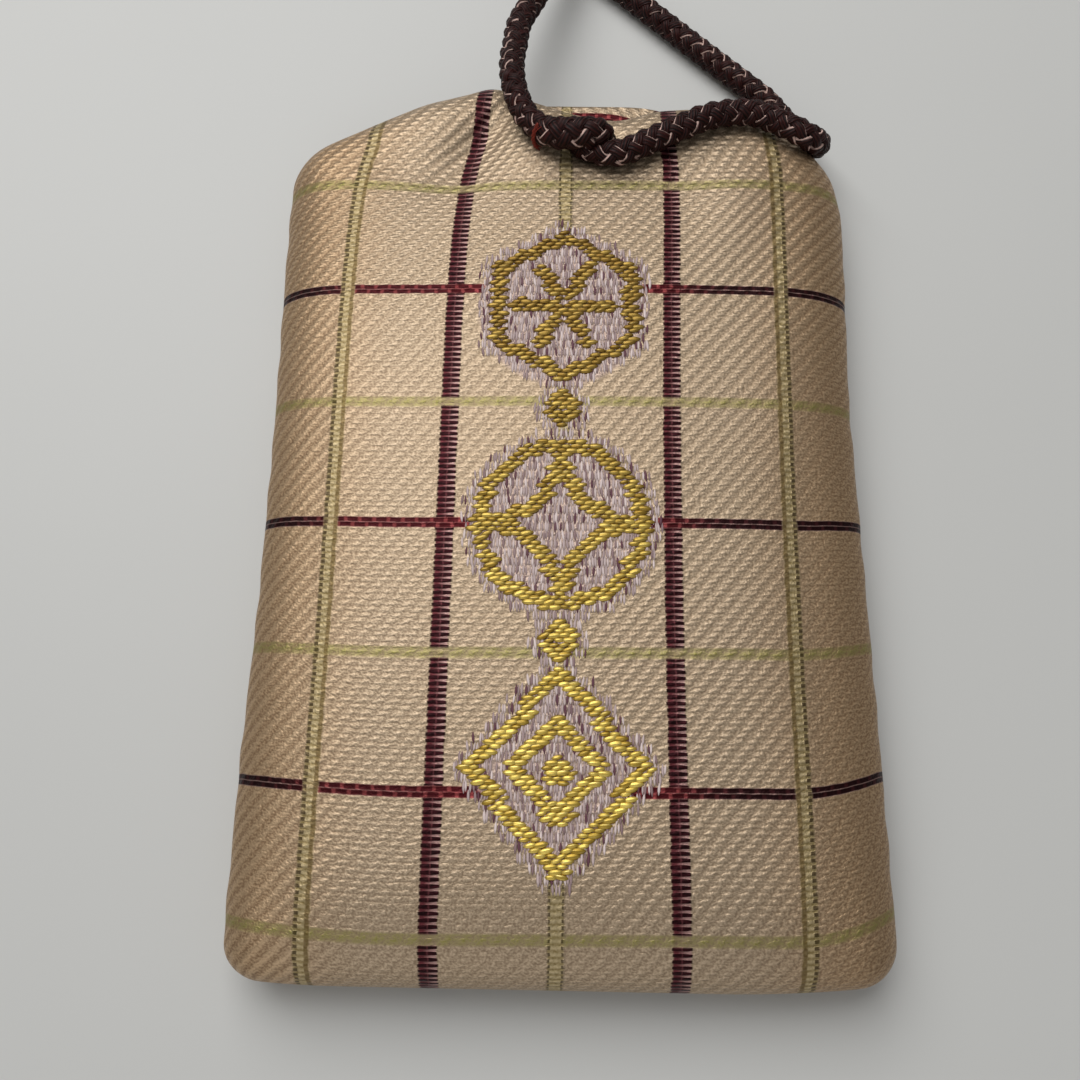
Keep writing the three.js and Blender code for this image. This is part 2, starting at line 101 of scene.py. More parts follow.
# %% Helpers that make meshes
def sheet_faces(rows, columns, closed=False):
    """Quads of a grid, with the row and the column of each corner.

    A closed grid joins its last column to its first.
    """
    across = columns if closed else columns - 1
    row, column = np.meshgrid(np.arange(rows - 1), np.arange(across), indexing="ij")
    row, column = row.ravel(), column.ravel()
    corner_rows = np.stack([row, row, row + 1, row + 1], axis=1)
    corner_columns = np.stack([column, column + 1, column + 1, column], axis=1)
    return corner_rows * columns + corner_columns % columns, corner_rows, corner_columns


def new_object(name, points, faces, corner_weave=None):
    """A smooth mesh object from points in millimetres and faces.

    The weave, if given, holds one place for each corner of each face.
    """
    mesh = bpy.data.meshes.new(name)
    mesh.from_pydata((np.asarray(points) * MM).tolist(), [], [list(map(int, face)) for face in faces])
    if corner_weave is not None:
        layer = mesh.uv_layers.new(name="weave")
        layer.data.foreach_set("uv", np.asarray(corner_weave, np.float32).ravel())
    mesh.shade_smooth()
    made = bpy.data.objects.new(name, mesh)
    scene.collection.objects.link(made)
    return made


def tubes(name, rings, along):
    """One mesh of closed tubes from rings shaped (tubes, steps, sides, 3).

    The weave of a corner is the tube's number plus its share of the turn, and its length along.
    """
    count, steps, sides, _ = rings.shape
    faces, corner_rows, corner_columns = sheet_faces(steps, sides, closed=True)
    every_face = []
    every_weave = []
    for tube in range(count):
        start = tube * steps * sides
        every_face.extend((faces + start).tolist())
        turn_share = tube + corner_columns / sides
        every_weave.append(np.stack([turn_share, along[corner_rows]], axis=-1).reshape(-1, 2))
        first = start + np.arange(sides)
        last = start + (steps - 1) * sides + np.arange(sides)
        every_face.append(first[::-1].tolist())
        every_face.append(last.tolist())
        ends = np.zeros((2 * sides, 2))
        ends[sides:, 1] = along[-1]
        every_weave.append(ends)
    return new_object(name, rings.reshape(-1, 3), every_face, np.concatenate(every_weave))


print("mesh helpers ready")

# %% [markdown]
# ## The shape of the pouch
#
# Seen from above, the pouch is a rectangle with two sloped shoulders and rounded corners.
# Its face rises in a quarter of an ellipse from the seam and then crowns gently. The CAD
# solids follow the same formulas, so cloth and cord land where the solids are.

# %% Outline and height of the pouch
HALF_WIDTH = 25.0
TOP = 39.0
SHOULDER = 32.5
MOUTH_FLAT = 12.3
FRONT_SEAM = 3.7
BACK_SEAM = 3.5
EDGE_RISE = 3.3
EDGE_ROUND = 4.2
CROWN = 1.0
# Each corner has a place in plan and a radius
CORNERS = np.array(
    [
        [HALF_WIDTH, -TOP, 3.0],
        [HALF_WIDTH, SHOULDER, 10.5],
        [MOUTH_FLAT, TOP, 8.0],
        [-MOUTH_FLAT, TOP, 8.0],
        [-HALF_WIDTH, SHOULDER, 6.0],
        [-HALF_WIDTH, -TOP, 3.0],
    ]
)


def unit(vectors):
    """Vectors divided by their own lengths."""
    return vectors / np.linalg.norm(vectors, axis=-1, keepdims=True)


def ramp(values, start, end):
    """A straight slope from 0 at the start to 1 at the end, level beyond both."""
    return np.clip((values - start) / (end - start), 0, 1)


def rounded_outline(steps=24):
    """Points round the outline, anticlockwise, with an arc of the corner's radius at each corner."""
    points = []
    for index in range(len(CORNERS)):
        corner = CORNERS[index, :2]
        radius = CORNERS[index, 2]
        to_last = unit(CORNERS[index - 1, :2] - corner)
        to_next = unit(CORNERS[(index + 1) % len(CORNERS), :2] - corner)
        half_angle = math.acos(float(to_last @ to_next)) / 2
        reach = radius / math.tan(half_angle)
        start = corner + to_last * reach
        end = corner + to_next * reach
        middle = corner + unit(to_last + to_next) * radius / math.sin(half_angle)
        begin = math.atan2(*(start - middle)[::-1])
        sweep = (math.atan2(*(end - middle)[::-1]) - begin) % (2 * math.pi)
        angles = begin + sweep * np.linspace(0, 1, steps)
        points.append(middle + radius * np.stack([np.cos(angles), np.sin(angles)], axis=1))
    return np.concatenate(points)


def inset_from_sides(x, y):
    """Distance in plan to the nearest side of the outline before its corners are rounded."""
    corners = CORNERS[:, :2]
    along = unit(np.roll(corners, -1, axis=0) - corners)
    inward = np.stack([-along[:, 1], along[:, 0]], axis=1)
    place = np.stack([np.asarray(x, float), np.asarray(y, float)], axis=-1)
    return ((place[..., None, :] - corners) * inward).sum(-1).min(axis=-1)


def edge_profile(inset):
    """Share of the edge's rise: a quarter of an ellipse, upright at the seam and level at the top."""
    return np.sqrt(1 - (1 - ramp(inset, 0, EDGE_ROUND)) ** 2)


def front_height(x, y):
    """Height of the front face: the seam, the edge's rise and a crown that is a parabola of the inset."""
    inset = inset_from_sides(x, y)
    crown_share = 1 - (1 - ramp(inset, 0, HALF_WIDTH)) ** 2
    return FRONT_SEAM + EDGE_RISE * edge_profile(inset) + CROWN * crown_share


print("face height in the middle:", float(front_height(0.0, 0.0)))

# %% [markdown]
# ## The route of the cord
#
# The cord is one length. It leaves the stopper knot inside the neck, comes out through the
# front cloth, passes over the mouth's lip into the hanging loop, comes back along the table,
# turns round the right shoulder and runs along it, back into the neck. A centripetal
# Catmull-Rom curve passes through every point given, without loops between close points.

# %% Route of the cord
CORD_DIAMETER = 2.4
CORD_LIFT = 1.5
TABLE_CORD = 1.25
INSIDE = 6.7
EYELET = np.array([2.52, 31.07])
LEFT_DIVE = EYELET + [0.73, 0.53]
RIGHT_DIVE = EYELET + [-1.4, 0.2]
LEFT_PIVOT = [-4.8, 41.8, 7.9]
RIGHT_PIVOT = [18.8, 41.8, TABLE_CORD]


def on_face(x, y, lift=0.0):
    """A point of the cord's middle on the front face: the face's height plus the cord's lift."""
    return [x, y, float(front_height(x, y)) + CORD_LIFT + lift]


LEFT_STRAND = [
    LEFT_PIVOT,
    [-5.0, 39.9, 8.25],
    [-4.85, 37.4, 8.7],
    [-4.25, 34.9, 8.95],
    [-3.3, 32.9, 9.2],
    [-1.9, 31.55, 9.5],
    [-0.2, 30.9, 9.95],
    [1.4, 30.85, 10.2],
    [2.6, 31.15, 9.85],
    [3.15, 31.5, 8.8],
    [*LEFT_DIVE, INSIDE],
]
SHOULDER_STRAND = [
    RIGHT_PIVOT,
    [19.4, 41.2, TABLE_CORD],
    [20.8, 39.2, 1.3],
    [22.1, 37.0, 1.75],
    [22.8, 35.4, 2.75],
    [23.0, 34.0, 4.4],
    [22.75, 33.05, 6.1],
    [21.7, 32.5, 7.55],
    on_face(20.4, 32.8, 0.1),
    on_face(18.6, 33.8, 0.1),
    on_face(16.3, 34.4, 0.1),
    on_face(12.8, 33.7),
    on_face(10.0, 32.35),
    on_face(7.7, 31.1),
    on_face(5.3, 29.85),
    on_face(4.3, 29.6, -0.05),
    [3.4, 29.7, 8.9],
    [2.5, 30.1, 8.7],
    [1.7, 30.7, 8.25],
    [1.2, 31.2, 7.4],
    [*RIGHT_DIVE, INSIDE],
]
HANGING_LOOP = [
    [-4.5, 44.6, 7.3],
    [-3.2, 48.3, 6.3],
    [-1.6, 53.0, 5.0],
    [0.3, 58.0, 3.85],
    [2.4, 63.5, 2.45],
    [5.0, 70.0, 1.45],
    [8.2, 77.0, TABLE_CORD],
    [8.5, 83.5, TABLE_CORD],
    [4.0, 88.5, TABLE_CORD],
    [-3.0, 89.5, TABLE_CORD],
    [-9.5, 86.5, TABLE_CORD],
    [-12.5, 80.0, TABLE_CORD],
    [-11.5, 73.0, TABLE_CORD],
    [-7.5, 66.2, TABLE_CORD],
    [-0.5, 59.5, TABLE_CORD],
    [6.7, 52.9, TABLE_CORD],
    [13.1, 47.0, TABLE_CORD],
]
route = np.array(LEFT_STRAND[::-1] + HANGING_LOOP + SHOULDER_STRAND)
print("route points:", len(route))

# %% Paths and frames
STEPS_PER_SPAN = 60
CORD_STEP = 0.19


def between(first, second, start, end, knot):
    """The straight line that is at the first point at the start knot and at the second at the end knot."""
    return (end - knot) / (end - start) * first + (knot - start) / (end - start) * second


def smooth_route(points, spacing):
    """Even points, and their lengths along, on the centripetal Catmull-Rom curve through the given ones.

    Its knots lie a square root of the chord apart, and three rounds of straight lines blend each span.
    """
    points = np.asarray(points, float)
    padded = np.concatenate([[2 * points[0] - points[1]], points, [2 * points[-1] - points[-2]]])
    chords = np.linalg.norm(np.diff(padded, axis=0), axis=1)
    knots = np.concatenate([[0], np.cumsum(chords**0.5)])
    fine = []
    for index in range(1, len(padded) - 2):
        k = knots[index - 1 : index + 3]
        p = padded[index - 1 : index + 3]
        knot = np.linspace(k[1], k[2], STEPS_PER_SPAN, endpoint=False)[:, None]
        lines = [between(p[i], p[i + 1], k[i], k[i + 1], knot) for i in range(3)]
        bends = [between(lines[i], lines[i + 1], k[i], k[i + 2], knot) for i in range(2)]
        fine.append(between(bends[0], bends[1], k[1], k[2], knot))
    fine = np.concatenate(fine + [points[-1:]])
    length = np.concatenate([[0], np.cumsum(np.linalg.norm(np.diff(fine, axis=0), axis=1))])
    places = np.linspace(0, length[-1], int(round(length[-1] / spacing)) + 1)
    even = np.stack([np.interp(places, length, fine[:, axis]) for axis in range(3)], axis=1)
    return even, places


def carried_frames(points, first_normal):
    """Two normals at each point of a path, carried from point to point without twist by two reflections."""
    tangents = unit(np.gradient(points, axis=0))
    normals = np.empty_like(points)
    normal = np.asarray(first_normal, float)
    normals[0] = unit(normal - tangents[0] * (normal @ tangents[0]))
    for index in range(len(points) - 1):
        step = points[index + 1] - points[index]
        scale = 2 / (step @ step)
        normal = normals[index] - scale * (step @ normals[index]) * step
        tangent = tangents[index] - scale * (step @ tangents[index]) * step
        change = tangents[index + 1] - tangent
        size = change @ change
        if size > 1e-12:
            normal = normal - 2 / size * (change @ normal) * change
        normals[index + 1] = unit(normal)
    return normals, np.cross(tangents, normals)


cord_points, cord_places = smooth_route(route, CORD_STEP)
print("cord length in mm:", round(float(cord_places[-1]), 1))

# %% [markdown]
# ## The braid
#
# An eight-strand round braid has four strands that climb one way round and four that climb
# the other way. Each passes over one and under the next, so its distance from the middle
# swings in and out four times a turn. A bump on a plain tube could suggest that, but the
# strands show at the cord's edge, so each is a tube of its own. The formula below places all
# the rings of a strand at once. The cord is a little thicker where it is bent at the hitch,
# and thinner where its other end goes into the neck.

# %% Braided cord
STRANDS_EACH_WAY = 4
BRAID_TURN = 5.4
BRAID_RADIUS = 0.78
BRAID_SWING = 0.13
STRAND_HIGH = 0.31
STRAND_WIDE = 0.47
HITCH_PLACE = 6.0
HITCH_REACH = 2.4
HITCH_SWELL = 0.20
END_REACH = 4.0
END_THIN = 0.10


def ring_angles(sides):
    """Even angles round a ring, from zero."""
    return np.linspace(0, 2 * np.pi, sides, endpoint=False)


def turned_out(angle, normals, binormals):
    """Directions across a path: the normal times the angle's cosine plus the second normal times its sine."""
    return np.cos(angle)[..., None] * normals + np.sin(angle)[..., None] * binormals


def braid_rings(points, places, normals, binormals, girth, sides=8):
    """Rings of the strands: ovals at a swinging radius, at an angle that turns either way with length."""
    rings = []
    girth = girth[:, None]
    around = ring_angles(sides)
    turn = 2 * np.pi * places / BRAID_TURN
    for way in (1, -1):
        for start in np.arange(STRANDS_EACH_WAY) * 2 * np.pi / STRANDS_EACH_WAY:
            radius = BRAID_RADIUS + way * BRAID_SWING * np.cos(STRANDS_EACH_WAY * turn)
            out = turned_out(way * turn + start, normals, binormals)
            middle = points + girth * radius[:, None] * out
            forward = unit(np.gradient(middle, axis=0))
            side = unit(np.cross(forward, out))
            high = np.cross(side, forward)
            ring = middle[:, None] + STRAND_HIGH * np.cos(around)[None, :, None] * (girth * high)[:, None]
            rings.append(ring + STRAND_WIDE * np.sin(around)[None, :, None] * (girth * side)[:, None])
    return np.array(rings)


def braided(name, points, places, first_normal, girth):
    """A braided piece along a path: the strands' rings on carried frames, as closed tubes."""
    normals, binormals = carried_frames(points, first_normal)
    return tubes(name, braid_rings(points, places, normals, binormals, girth), places)


cord_rest = cord_places[-1] - cord_places
cord_girth = 1 + HITCH_SWELL * np.exp(-(((cord_places - HITCH_PLACE) / HITCH_REACH) ** 2))
cord_girth = cord_girth - END_THIN * np.exp(-((cord_rest / END_REACH) ** 2))
cord = braided("braided_cord", cord_points, cord_places, [1, 0, 0], cord_girth)
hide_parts("left_strand", "shoulder_strand", "hanging_loop")
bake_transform(cord)
print("cord faces:", len(cord.data.polygons))

# %% [markdown]
# ## Shader sums in plain writing
#
# A pattern such as a twill is a sum of waves. Wiring such a sum node by node is hard to
# read, so one small class wraps a node's output and lets it be added, multiplied and
# shaped like a number. Every material below is written with it.


# %% A class for shader sums
class Signal:
    """A node's output that can be added, multiplied and shaped like a number."""

    def __init__(self, tree, socket=None):
        self.tree = tree
        self.socket = socket

    def node(self, kind, settings=None, sockets=None, output=0):
        """Make a node, set its settings, fill or link its sockets, and give one output."""
        made = self.tree.nodes.new(kind)
        for name, value in (settings or {}).items():
            setattr(made, name, value)
        for key, value in (sockets or {}).items():
            if isinstance(value, Signal):
                self.tree.links.new(value.socket, made.inputs[key])
            else:
                made.inputs[key].default_value = value
        return Signal(self.tree, made.outputs[output])

    def maths(self, operation, *values):
        """One step of arithmetic on this signal and other values."""
        sockets = dict(enumerate((self, *values)))
        return self.node("ShaderNodeMath", {"operation": operation}, sockets)

    def __add__(self, other):
        return self.maths("ADD", other)

    __radd__ = __add__

    def __mul__(self, other):
        return self.maths("MULTIPLY", other)

    __rmul__ = __mul__

    def __sub__(self, other):
        return self.maths("SUBTRACT", other)

    def __rsub__(self, other):
        return self.maths("MULTIPLY_ADD", -1.0, other)

    def __abs__(self):
        return self.maths("ABSOLUTE")

    def wave(self, period):
        """A wave from 0 to 1 that is 1 wherever this signal is a whole number of periods."""
        return (self * (2 * math.pi / period)).maths("COSINE") * 0.5 + 0.5

    def repeat(self, period, middle=0.0):
        """Signed distance to the nearest of the lines a period apart, one of them at the middle."""
        share = (self * (1 / period) + (0.5 - middle / period)).maths("FRACT")
        return share * period - period / 2

    def step(self, low, high):
        """A smooth step from 0 at low to 1 at high; with low above high it falls."""
        settings = {"interpolation_type": "SMOOTHSTEP"}
        return self.node("ShaderNodeMapRange", settings, {0: self, 1: low, 2: high})

    def band(self, half, soft):
        """1 within half of zero and 0 outside, with a soft edge."""
        return abs(self).step(half + soft, half - soft)

    def mix(self, first, second):
        """The first colour where this signal is 0 and the second where it is 1."""
        return self.node("ShaderNodeMix", {"data_type": "RGBA"}, {0: self, 6: first, 7: second}, output=2)


def colour(red, green, blue):
    """A colour as it is seen, in parts of 255, made linear for a shader."""
    seen = np.array([red, green, blue]) / 255
    linear = np.where(seen <= 0.04045, seen / 12.92, ((seen + 0.055) / 1.055) ** 2.4)
    return (*linear.tolist(), 1.0)


def new_material(name, constants=None):
    """A material, its shader and an empty signal; the constants go straight onto the shader's sockets."""
    material = bpy.data.materials.new(name)
    material.use_nodes = True
    shader = material.node_tree.nodes["Principled BSDF"]
    for socket, value in (constants or {}).items():
        shader.inputs[socket].default_value = value
    return material, shader, Signal(material.node_tree)


def connect(signal, shader, socket):
    """Link a signal to one socket of the shader."""
    signal.tree.links.new(signal.socket, shader.inputs[socket])


def bump(signal, shader, distance):
    """Raise the surface by the signal times a distance in metres, in the shading alone."""
    raised = signal.node("ShaderNodeBump", None, {"Height": signal, "Distance": distance})
    connect(raised, shader, "Normal")


def weave_place(signal):
    """The two numbers of the weave map: across and along, in millimetres on the cloth."""
    place = signal.node("ShaderNodeUVMap", {"uv_map": "weave"})
    across = signal.node("ShaderNodeSeparateXYZ", None, {0: place}, output="X")
    along = signal.node("ShaderNodeSeparateXYZ", None, {0: place}, output="Y")
    return across, along


def object_place(signal):
    """The place of each point of the surface in Object coordinates, in metres."""
    return signal.node("ShaderNodeTexCoord", output="Object")


def noise(across, along, scale_across, scale_along, detail=2.0):
    """Smooth noise from 0 to 1 over a signal and a second signal or number, each with its own scale."""
    place = across.node("ShaderNodeCombineXYZ", None, {0: across * scale_across, 1: along * scale_along})
    sockets = {0: place, "Scale": 1.0, "Detail": detail}
    return across.node("ShaderNodeTexNoise", {"noise_dimensions": "2D"}, sockets)


print("shader class ready")

# %% [markdown]
# ## Material of the cord
#
# Each strand of the braid is a bundle of dark brown filaments with one pale filament, which
# shows here and there. The weave map counts the turn round the strand and the length along
# it, so the pale filament is a narrow band of the turn, broken by noise, and the other
# filaments are streaks along the length.

# %% Braided cord material
PALE_TURN = 0.20
PALE_HALF = 0.060

cord_material, cord_shader, cord_signal = new_material("dark_braid", {"Specular IOR Level": 0.17})
cord_turn, cord_length = weave_place(cord_signal)
yarns = (cord_turn * 9.0 + cord_length * 1.2).wave(1.0)
filaments = noise(cord_turn, cord_length, 24.0, 3.0, detail=3.0)
blotches = noise(cord_turn, cord_length, 1.5, 0.5)
# Partly painted light: the crests of the yarns are painted lighter and the grooves between them darker, over
# the filaments' own random tone.
lit = (yarns * 0.5 + filaments * 0.9 - 0.2).step(0.15, 0.85)
dark = lit.mix(colour(11, 3, 3), colour(54, 23, 20))
dark = (blotches.step(0.45, 0.8) * 0.6).mix(dark, colour(58, 18, 15))
broken = noise(cord_turn, cord_length, 3.0, 0.9).step(0.43, 0.55)
pale_line = cord_turn.repeat(1.0, PALE_TURN).band(PALE_HALF, 0.025) * broken
connect(pale_line.mix(dark, colour(226, 192, 180)), cord_shader, "Base Color")
connect(0.58 - lit * 0.16, cord_shader, "Roughness")
bump(yarns * 0.5 + filaments * 0.7 + pale_line * 0.8, cord_shader, 0.00010)
cord.data.materials.append(cord_material)
print("material:", cord_material.name)

# %% [markdown]
# ## Stopper knot
#
# Inside the neck the two ends are tied in an overhand knot, too big for the opening. Its
# middle line is an open trefoil: one wave of angle t plus a larger wave of 2t, with the
# height following a wave of 3t so that each crossing passes over or under.

# %% Braided stopper knot
KNOT_SCALE = 0.565 * CORD_DIAMETER
KNOT_LOBE = 2.8
KNOT_FLATNESS = 1.6
KNOT_TURN = 0.6
KNOT_OPEN = 0.55
KNOT_RISE = CORD_DIAMETER / 2 + 0.2
KNOT_AWAY = 2.5 * KNOT_SCALE
KNOT_MIDDLE = 3.6
KNOT_STEP = 0.25

knot_away = KNOT_AWAY * np.array([math.sin(KNOT_TURN), -math.cos(KNOT_TURN)])
knot_angle = np.linspace(np.pi + KNOT_OPEN, 3 * np.pi - KNOT_OPEN, 41)
knot_local = KNOT_SCALE * np.stack(
    [
        np.sin(knot_angle) + KNOT_LOBE * np.sin(2 * knot_angle),
        np.cos(knot_angle) - KNOT_LOBE * np.cos(2 * knot_angle),
    ],
    axis=1,
)
half_turn = KNOT_TURN + np.pi
spin = np.array([[math.cos(half_turn), -math.sin(half_turn)], [math.sin(half_turn), math.cos(half_turn)]])
knot_plan = knot_local @ spin.T + EYELET + knot_away
knot_level = np.tanh(KNOT_FLATNESS * np.sin(3 * knot_angle)) / math.tanh(KNOT_FLATNESS)
knot_route = np.column_stack([knot_plan, KNOT_MIDDLE - KNOT_RISE * knot_level])
knot_points, knot_places = smooth_route(knot_route, KNOT_STEP)
knot = braided("braided_knot", knot_points, knot_places, [0, 0, 1], np.ones(len(knot_places)))
knot.data.materials.append(cord_material)
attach(knot, "pouch")
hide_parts("stopper_knot")
print("knot length in mm:", round(float(knot_places[-1]), 1))

# %% [markdown]
# ## Plan of a cloth panel
#
# Both panels use one plan of rows and columns. The lines crowd towards the edges, where the
# cloth rolls over, and the side columns follow the outline. A sewn pouch is never quite
# even, so the plan is then nudged: the sides bow, the left shoulder sinks, the lower corners
# are drawn up, and the seam puckers in small waves.

# %% Plan of rows and columns
ROLL_STEPS = 9
MIDDLE_ROWS = 64
NECK_ROWS = 15
MIDDLE_COLUMNS = 62
NECK_START = 26.0

outline = rounded_outline()


def panel_plan():
    """Rows and columns in plan: even in the middle and by equal turns of the roll along the edges."""
    roll_in = EDGE_ROUND * (1 - np.cos(np.linspace(0, np.pi / 2, ROLL_STEPS)))
    rows = np.concatenate(
        [
            -TOP + roll_in,
            np.linspace(-TOP + EDGE_ROUND, NECK_START, MIDDLE_ROWS)[1:],
            np.linspace(NECK_START, TOP - EDGE_ROUND, NECK_ROWS)[1:],
            (TOP - roll_in[::-1])[1:],
        ]
    )
    half = len(outline) // 2
    right = np.interp(rows, outline[:half, 1], outline[:half, 0])[:, None]
    left = np.interp(rows, outline[half:][::-1, 1], outline[half:][::-1, 0])[:, None]
    share = np.linspace(0, 1, MIDDLE_COLUMNS)[1:-1]
    middle = left + EDGE_ROUND + (right - left - 2 * EDGE_ROUND) * share
    x = np.concatenate([left + roll_in, middle, right - roll_in[::-1]], axis=1)
    return x, np.repeat(rows[:, None], x.shape[1], axis=1)


def distance_to_lines(places, lines):
    """Shortest distance from each place to any of the lines, each a chain of points."""
    starts = np.concatenate([line[:-1] for line in lines])
    steps = np.concatenate([np.diff(line, axis=0) for line in lines])
    share = ((places[:, None] - starts) * steps).sum(-1) / (steps * steps).sum(-1)
    nearest = starts + np.clip(share, 0, 1)[..., None] * steps
    return np.linalg.norm(places[:, None] - nearest, axis=-1).min(axis=1)


even_x, even_y = panel_plan()
ROWS, COLUMNS = even_x.shape
even_places = np.stack([even_x.ravel(), even_y.ravel()], axis=1)
closed_outline = np.concatenate([outline, outline[:1]])
plan_inset = distance_to_lines(even_places, [closed_outline]).reshape(ROWS, COLUMNS)
print("rows and columns:", ROWS, COLUMNS)

# %% Nudged outline and puckered seam
# Each row has a place along y and how far the cloth moves to the right there
RIGHT_BOW = np.array([[-39, 0.65], [-20, 0.35], [0, -0.15], [8, -0.35], [22, 0.0]])
LEFT_BOW = np.array([[-22, 0.0], [-10, 0.3], [5, 0.3], [22, 0.0]])
LEFT_SHOULDER_SINK = 0.85
RIGHT_CORNER_LIFT = 0.9
LEFT_CORNER_LIFT = 0.5
PUCKER = 0.05
PUCKER_REACH = 4.0


def nudged(x, y):
    """The plan as it lies: x moves by the bows and y by the sink and the lifts, each faded by slopes."""
    bow = ramp(x, 0, HALF_WIDTH) ** 2 * np.interp(y, *RIGHT_BOW.T)
    bow = bow + ramp(-x, 0, HALF_WIDTH) ** 2 * np.interp(y, *LEFT_BOW.T)
    sunk = LEFT_SHOULDER_SINK * ramp(-x, 10.5, 15) * ramp(y, 20, 32)
    lift = RIGHT_CORNER_LIFT * ramp(x, 12, 25) ** 2 + LEFT_CORNER_LIFT * ramp(-x, 16, 25) ** 2
    return x + bow, y - sunk + lift * ramp(-y, 28, 39)


plan_x, plan_y = nudged(even_x, even_y)
seam_side = np.sign(plan_x)
seam_place = plan_y + 3.0 * seam_side
seam_waves = np.sin(seam_place * 1.19) + 0.7 * np.sin(seam_place * 1.73 + 1.0)
plan_x = plan_x + PUCKER * seam_waves * seam_side * (1 - ramp(plan_inset, 0, PUCKER_REACH))
print("outermost x in mm:", plan_x.min(), plan_x.max())

# %% [markdown]
# ## Shape of the front cloth
#
# The front rises from the seam, more tightly along the bottom, crowns, and is pressed by the
# cord where the cord lies on it. The mouth's front lip is pulled down where the cord is
# hitched through it, so its edge has a place and a height of its own. Low hills shape the
# rest: a swell under the hitch and along the right shoulder, a crease and a valley to the
# left of the neck, and a dent where each end of the cord goes in.

# %% Front cloth before it settles
CORD_PRESS = CORD_DIAMETER / 2 + 0.05
RESTING_HEIGHT = 8.2
LIP_DRAW_POWER = 1.5
BOTTOM_TIGHTER = 0.3
UPPER_CROWN_POWER = 4
LOWER_CROWN_POWER = 7
# Each point of the lip has x, y and height
LIP = np.array(
    [
        [-16.0, 39.0, 3.7],
        [-13.0, 38.6, 3.7],
        [-11.0, 38.3, 3.7],
        [-9.0, 38.6, 4.4],
        [-7.2, 39.1, 5.2],
        [-5.6, 38.7, 5.5],
        [-3.6, 37.5, 5.7],
        [-1.6, 36.4, 5.9],
        [0.5, 35.5, 6.0],
        [2.5, 35.0, 6.0],
        [4.4, 34.8, 5.8],
        [6.0, 35.3, 5.5],
        [8.0, 36.5, 4.9],
        [10.0, 37.0, 4.1],
        [12.0, 37.4, 3.7],
        [14.0, 38.4, 3.7],
        [16.0, 39.0, 3.7],
    ]
)
# Each hill has a height, x, y, a half width, a half length and a turn in degrees
FRONT_HILLS = [
    [0.5, -0.9, 31.0, 2.6, 2.2, 0],
    [0.3, 10.0, 31.5, 9.0, 3.5, 15],
    [-0.5, -6.6, 34.2, 1.3, 4.0, -35],
    [-0.9, -8.2, 31.5, 2.8, 6.0, -30],
    [0.4, 14.8, 26.0, 3.0, 4.5, -20],
    [-0.8, *LEFT_DIVE, 1.2, 1.2, 0],
    [-0.8, *RIGHT_DIVE, 1.2, 1.2, 0],
]


def smooth_line(places, line_places, line_values, spread=0.45):
    """A line through given values, rounded by averaging it over a Gaussian spread."""
    offsets = np.linspace(-2, 2, 9) * spread
    weights = np.exp(-0.5 * (offsets / spread) ** 2)
    values = [np.interp(places + offset, line_places, line_values) for offset in offsets]
    return np.tensordot(weights / weights.sum(), np.array(values), axes=1)


def hill(x, y, middle_x, middle_y, wide, long, turn_degrees=0.0):
    """A Gaussian hill of height 1, turned in plan."""
    angle = math.radians(turn_degrees)
    across = (x - middle_x) * math.cos(angle) + (y - middle_y) * math.sin(angle)
    along = (y - middle_y) * math.cos(angle) - (x - middle_x) * math.sin(angle)
    return np.exp(-((across / wide) ** 2) - (along / long) ** 2)


def front_shape():
    """Front cloth: the seam's or lip's height plus an elliptic roll, a crown and the hills.

    The crown falls with the square of x and with a higher power of y.
    """
    lip_y = smooth_line(plan_x, LIP[:, 0], LIP[:, 1])
    lip_z = np.where(plan_y > 0, smooth_line(plan_x, LIP[:, 0], LIP[:, 2]), FRONT_SEAM)
    y = plan_y - ramp(plan_y, NECK_START, TOP) ** LIP_DRAW_POWER * (TOP - lip_y)
    tighter = 1 + BOTTOM_TIGHTER * ramp(-y, 24, 36)
    z = lip_z + (FRONT_SEAM + EDGE_RISE - lip_z) * edge_profile(plan_inset * tighter)
    crown_power = np.where(y > 0, UPPER_CROWN_POWER, LOWER_CROWN_POWER)
    z = z + CROWN * (1 - (plan_x / HALF_WIDTH) ** 2) * (1 - np.abs(y / TOP) ** crown_power)
    for height, *place in FRONT_HILLS:
        z = z + height * hill(plan_x, y, *place)
    return np.stack([plan_x, y, z], axis=-1)


def press_under(points, path, radius):
    """Lower each point that would stand inside the cord to just beneath its round section."""
    flat = points.reshape(-1, 3)
    apart = np.linalg.norm(flat[:, None, :2] - path[None, :, :2], axis=-1)
    nearest = apart.argmin(axis=1)
    gap = apart[np.arange(len(flat)), nearest]
    limit = path[nearest, 2] - np.sqrt(np.clip(radius**2 - gap**2, 0, None))
    pressed = np.where(gap < radius, np.minimum(flat[:, 2], limit), flat[:, 2])
    return np.column_stack([flat[:, :2], pressed]).reshape(points.shape)


resting = cord_points[(cord_points[:, 2] > RESTING_HEIGHT) & (cord_points[:, 1] < TOP)]
front_points = press_under(front_shape(), resting, CORD_PRESS)
print("front cloth height in mm:", front_points[..., 2].min(), front_points[..., 2].max())

# %% [markdown]
# ## Letting the cloth settle
#
# Padded cloth is slightly larger than the shape it is sewn to, so it swells between its
# seams. Blender's cloth solver finds that swell: the seam, the neck and the places under the
# cord are pinned, a gentle pressure stands for the wadding, and gravity is off. The solver
# works best on things the size of a cushion, so the sheet is enlarged first. Its moves are
# then capped, evened out, and faded towards the seam and the neck.

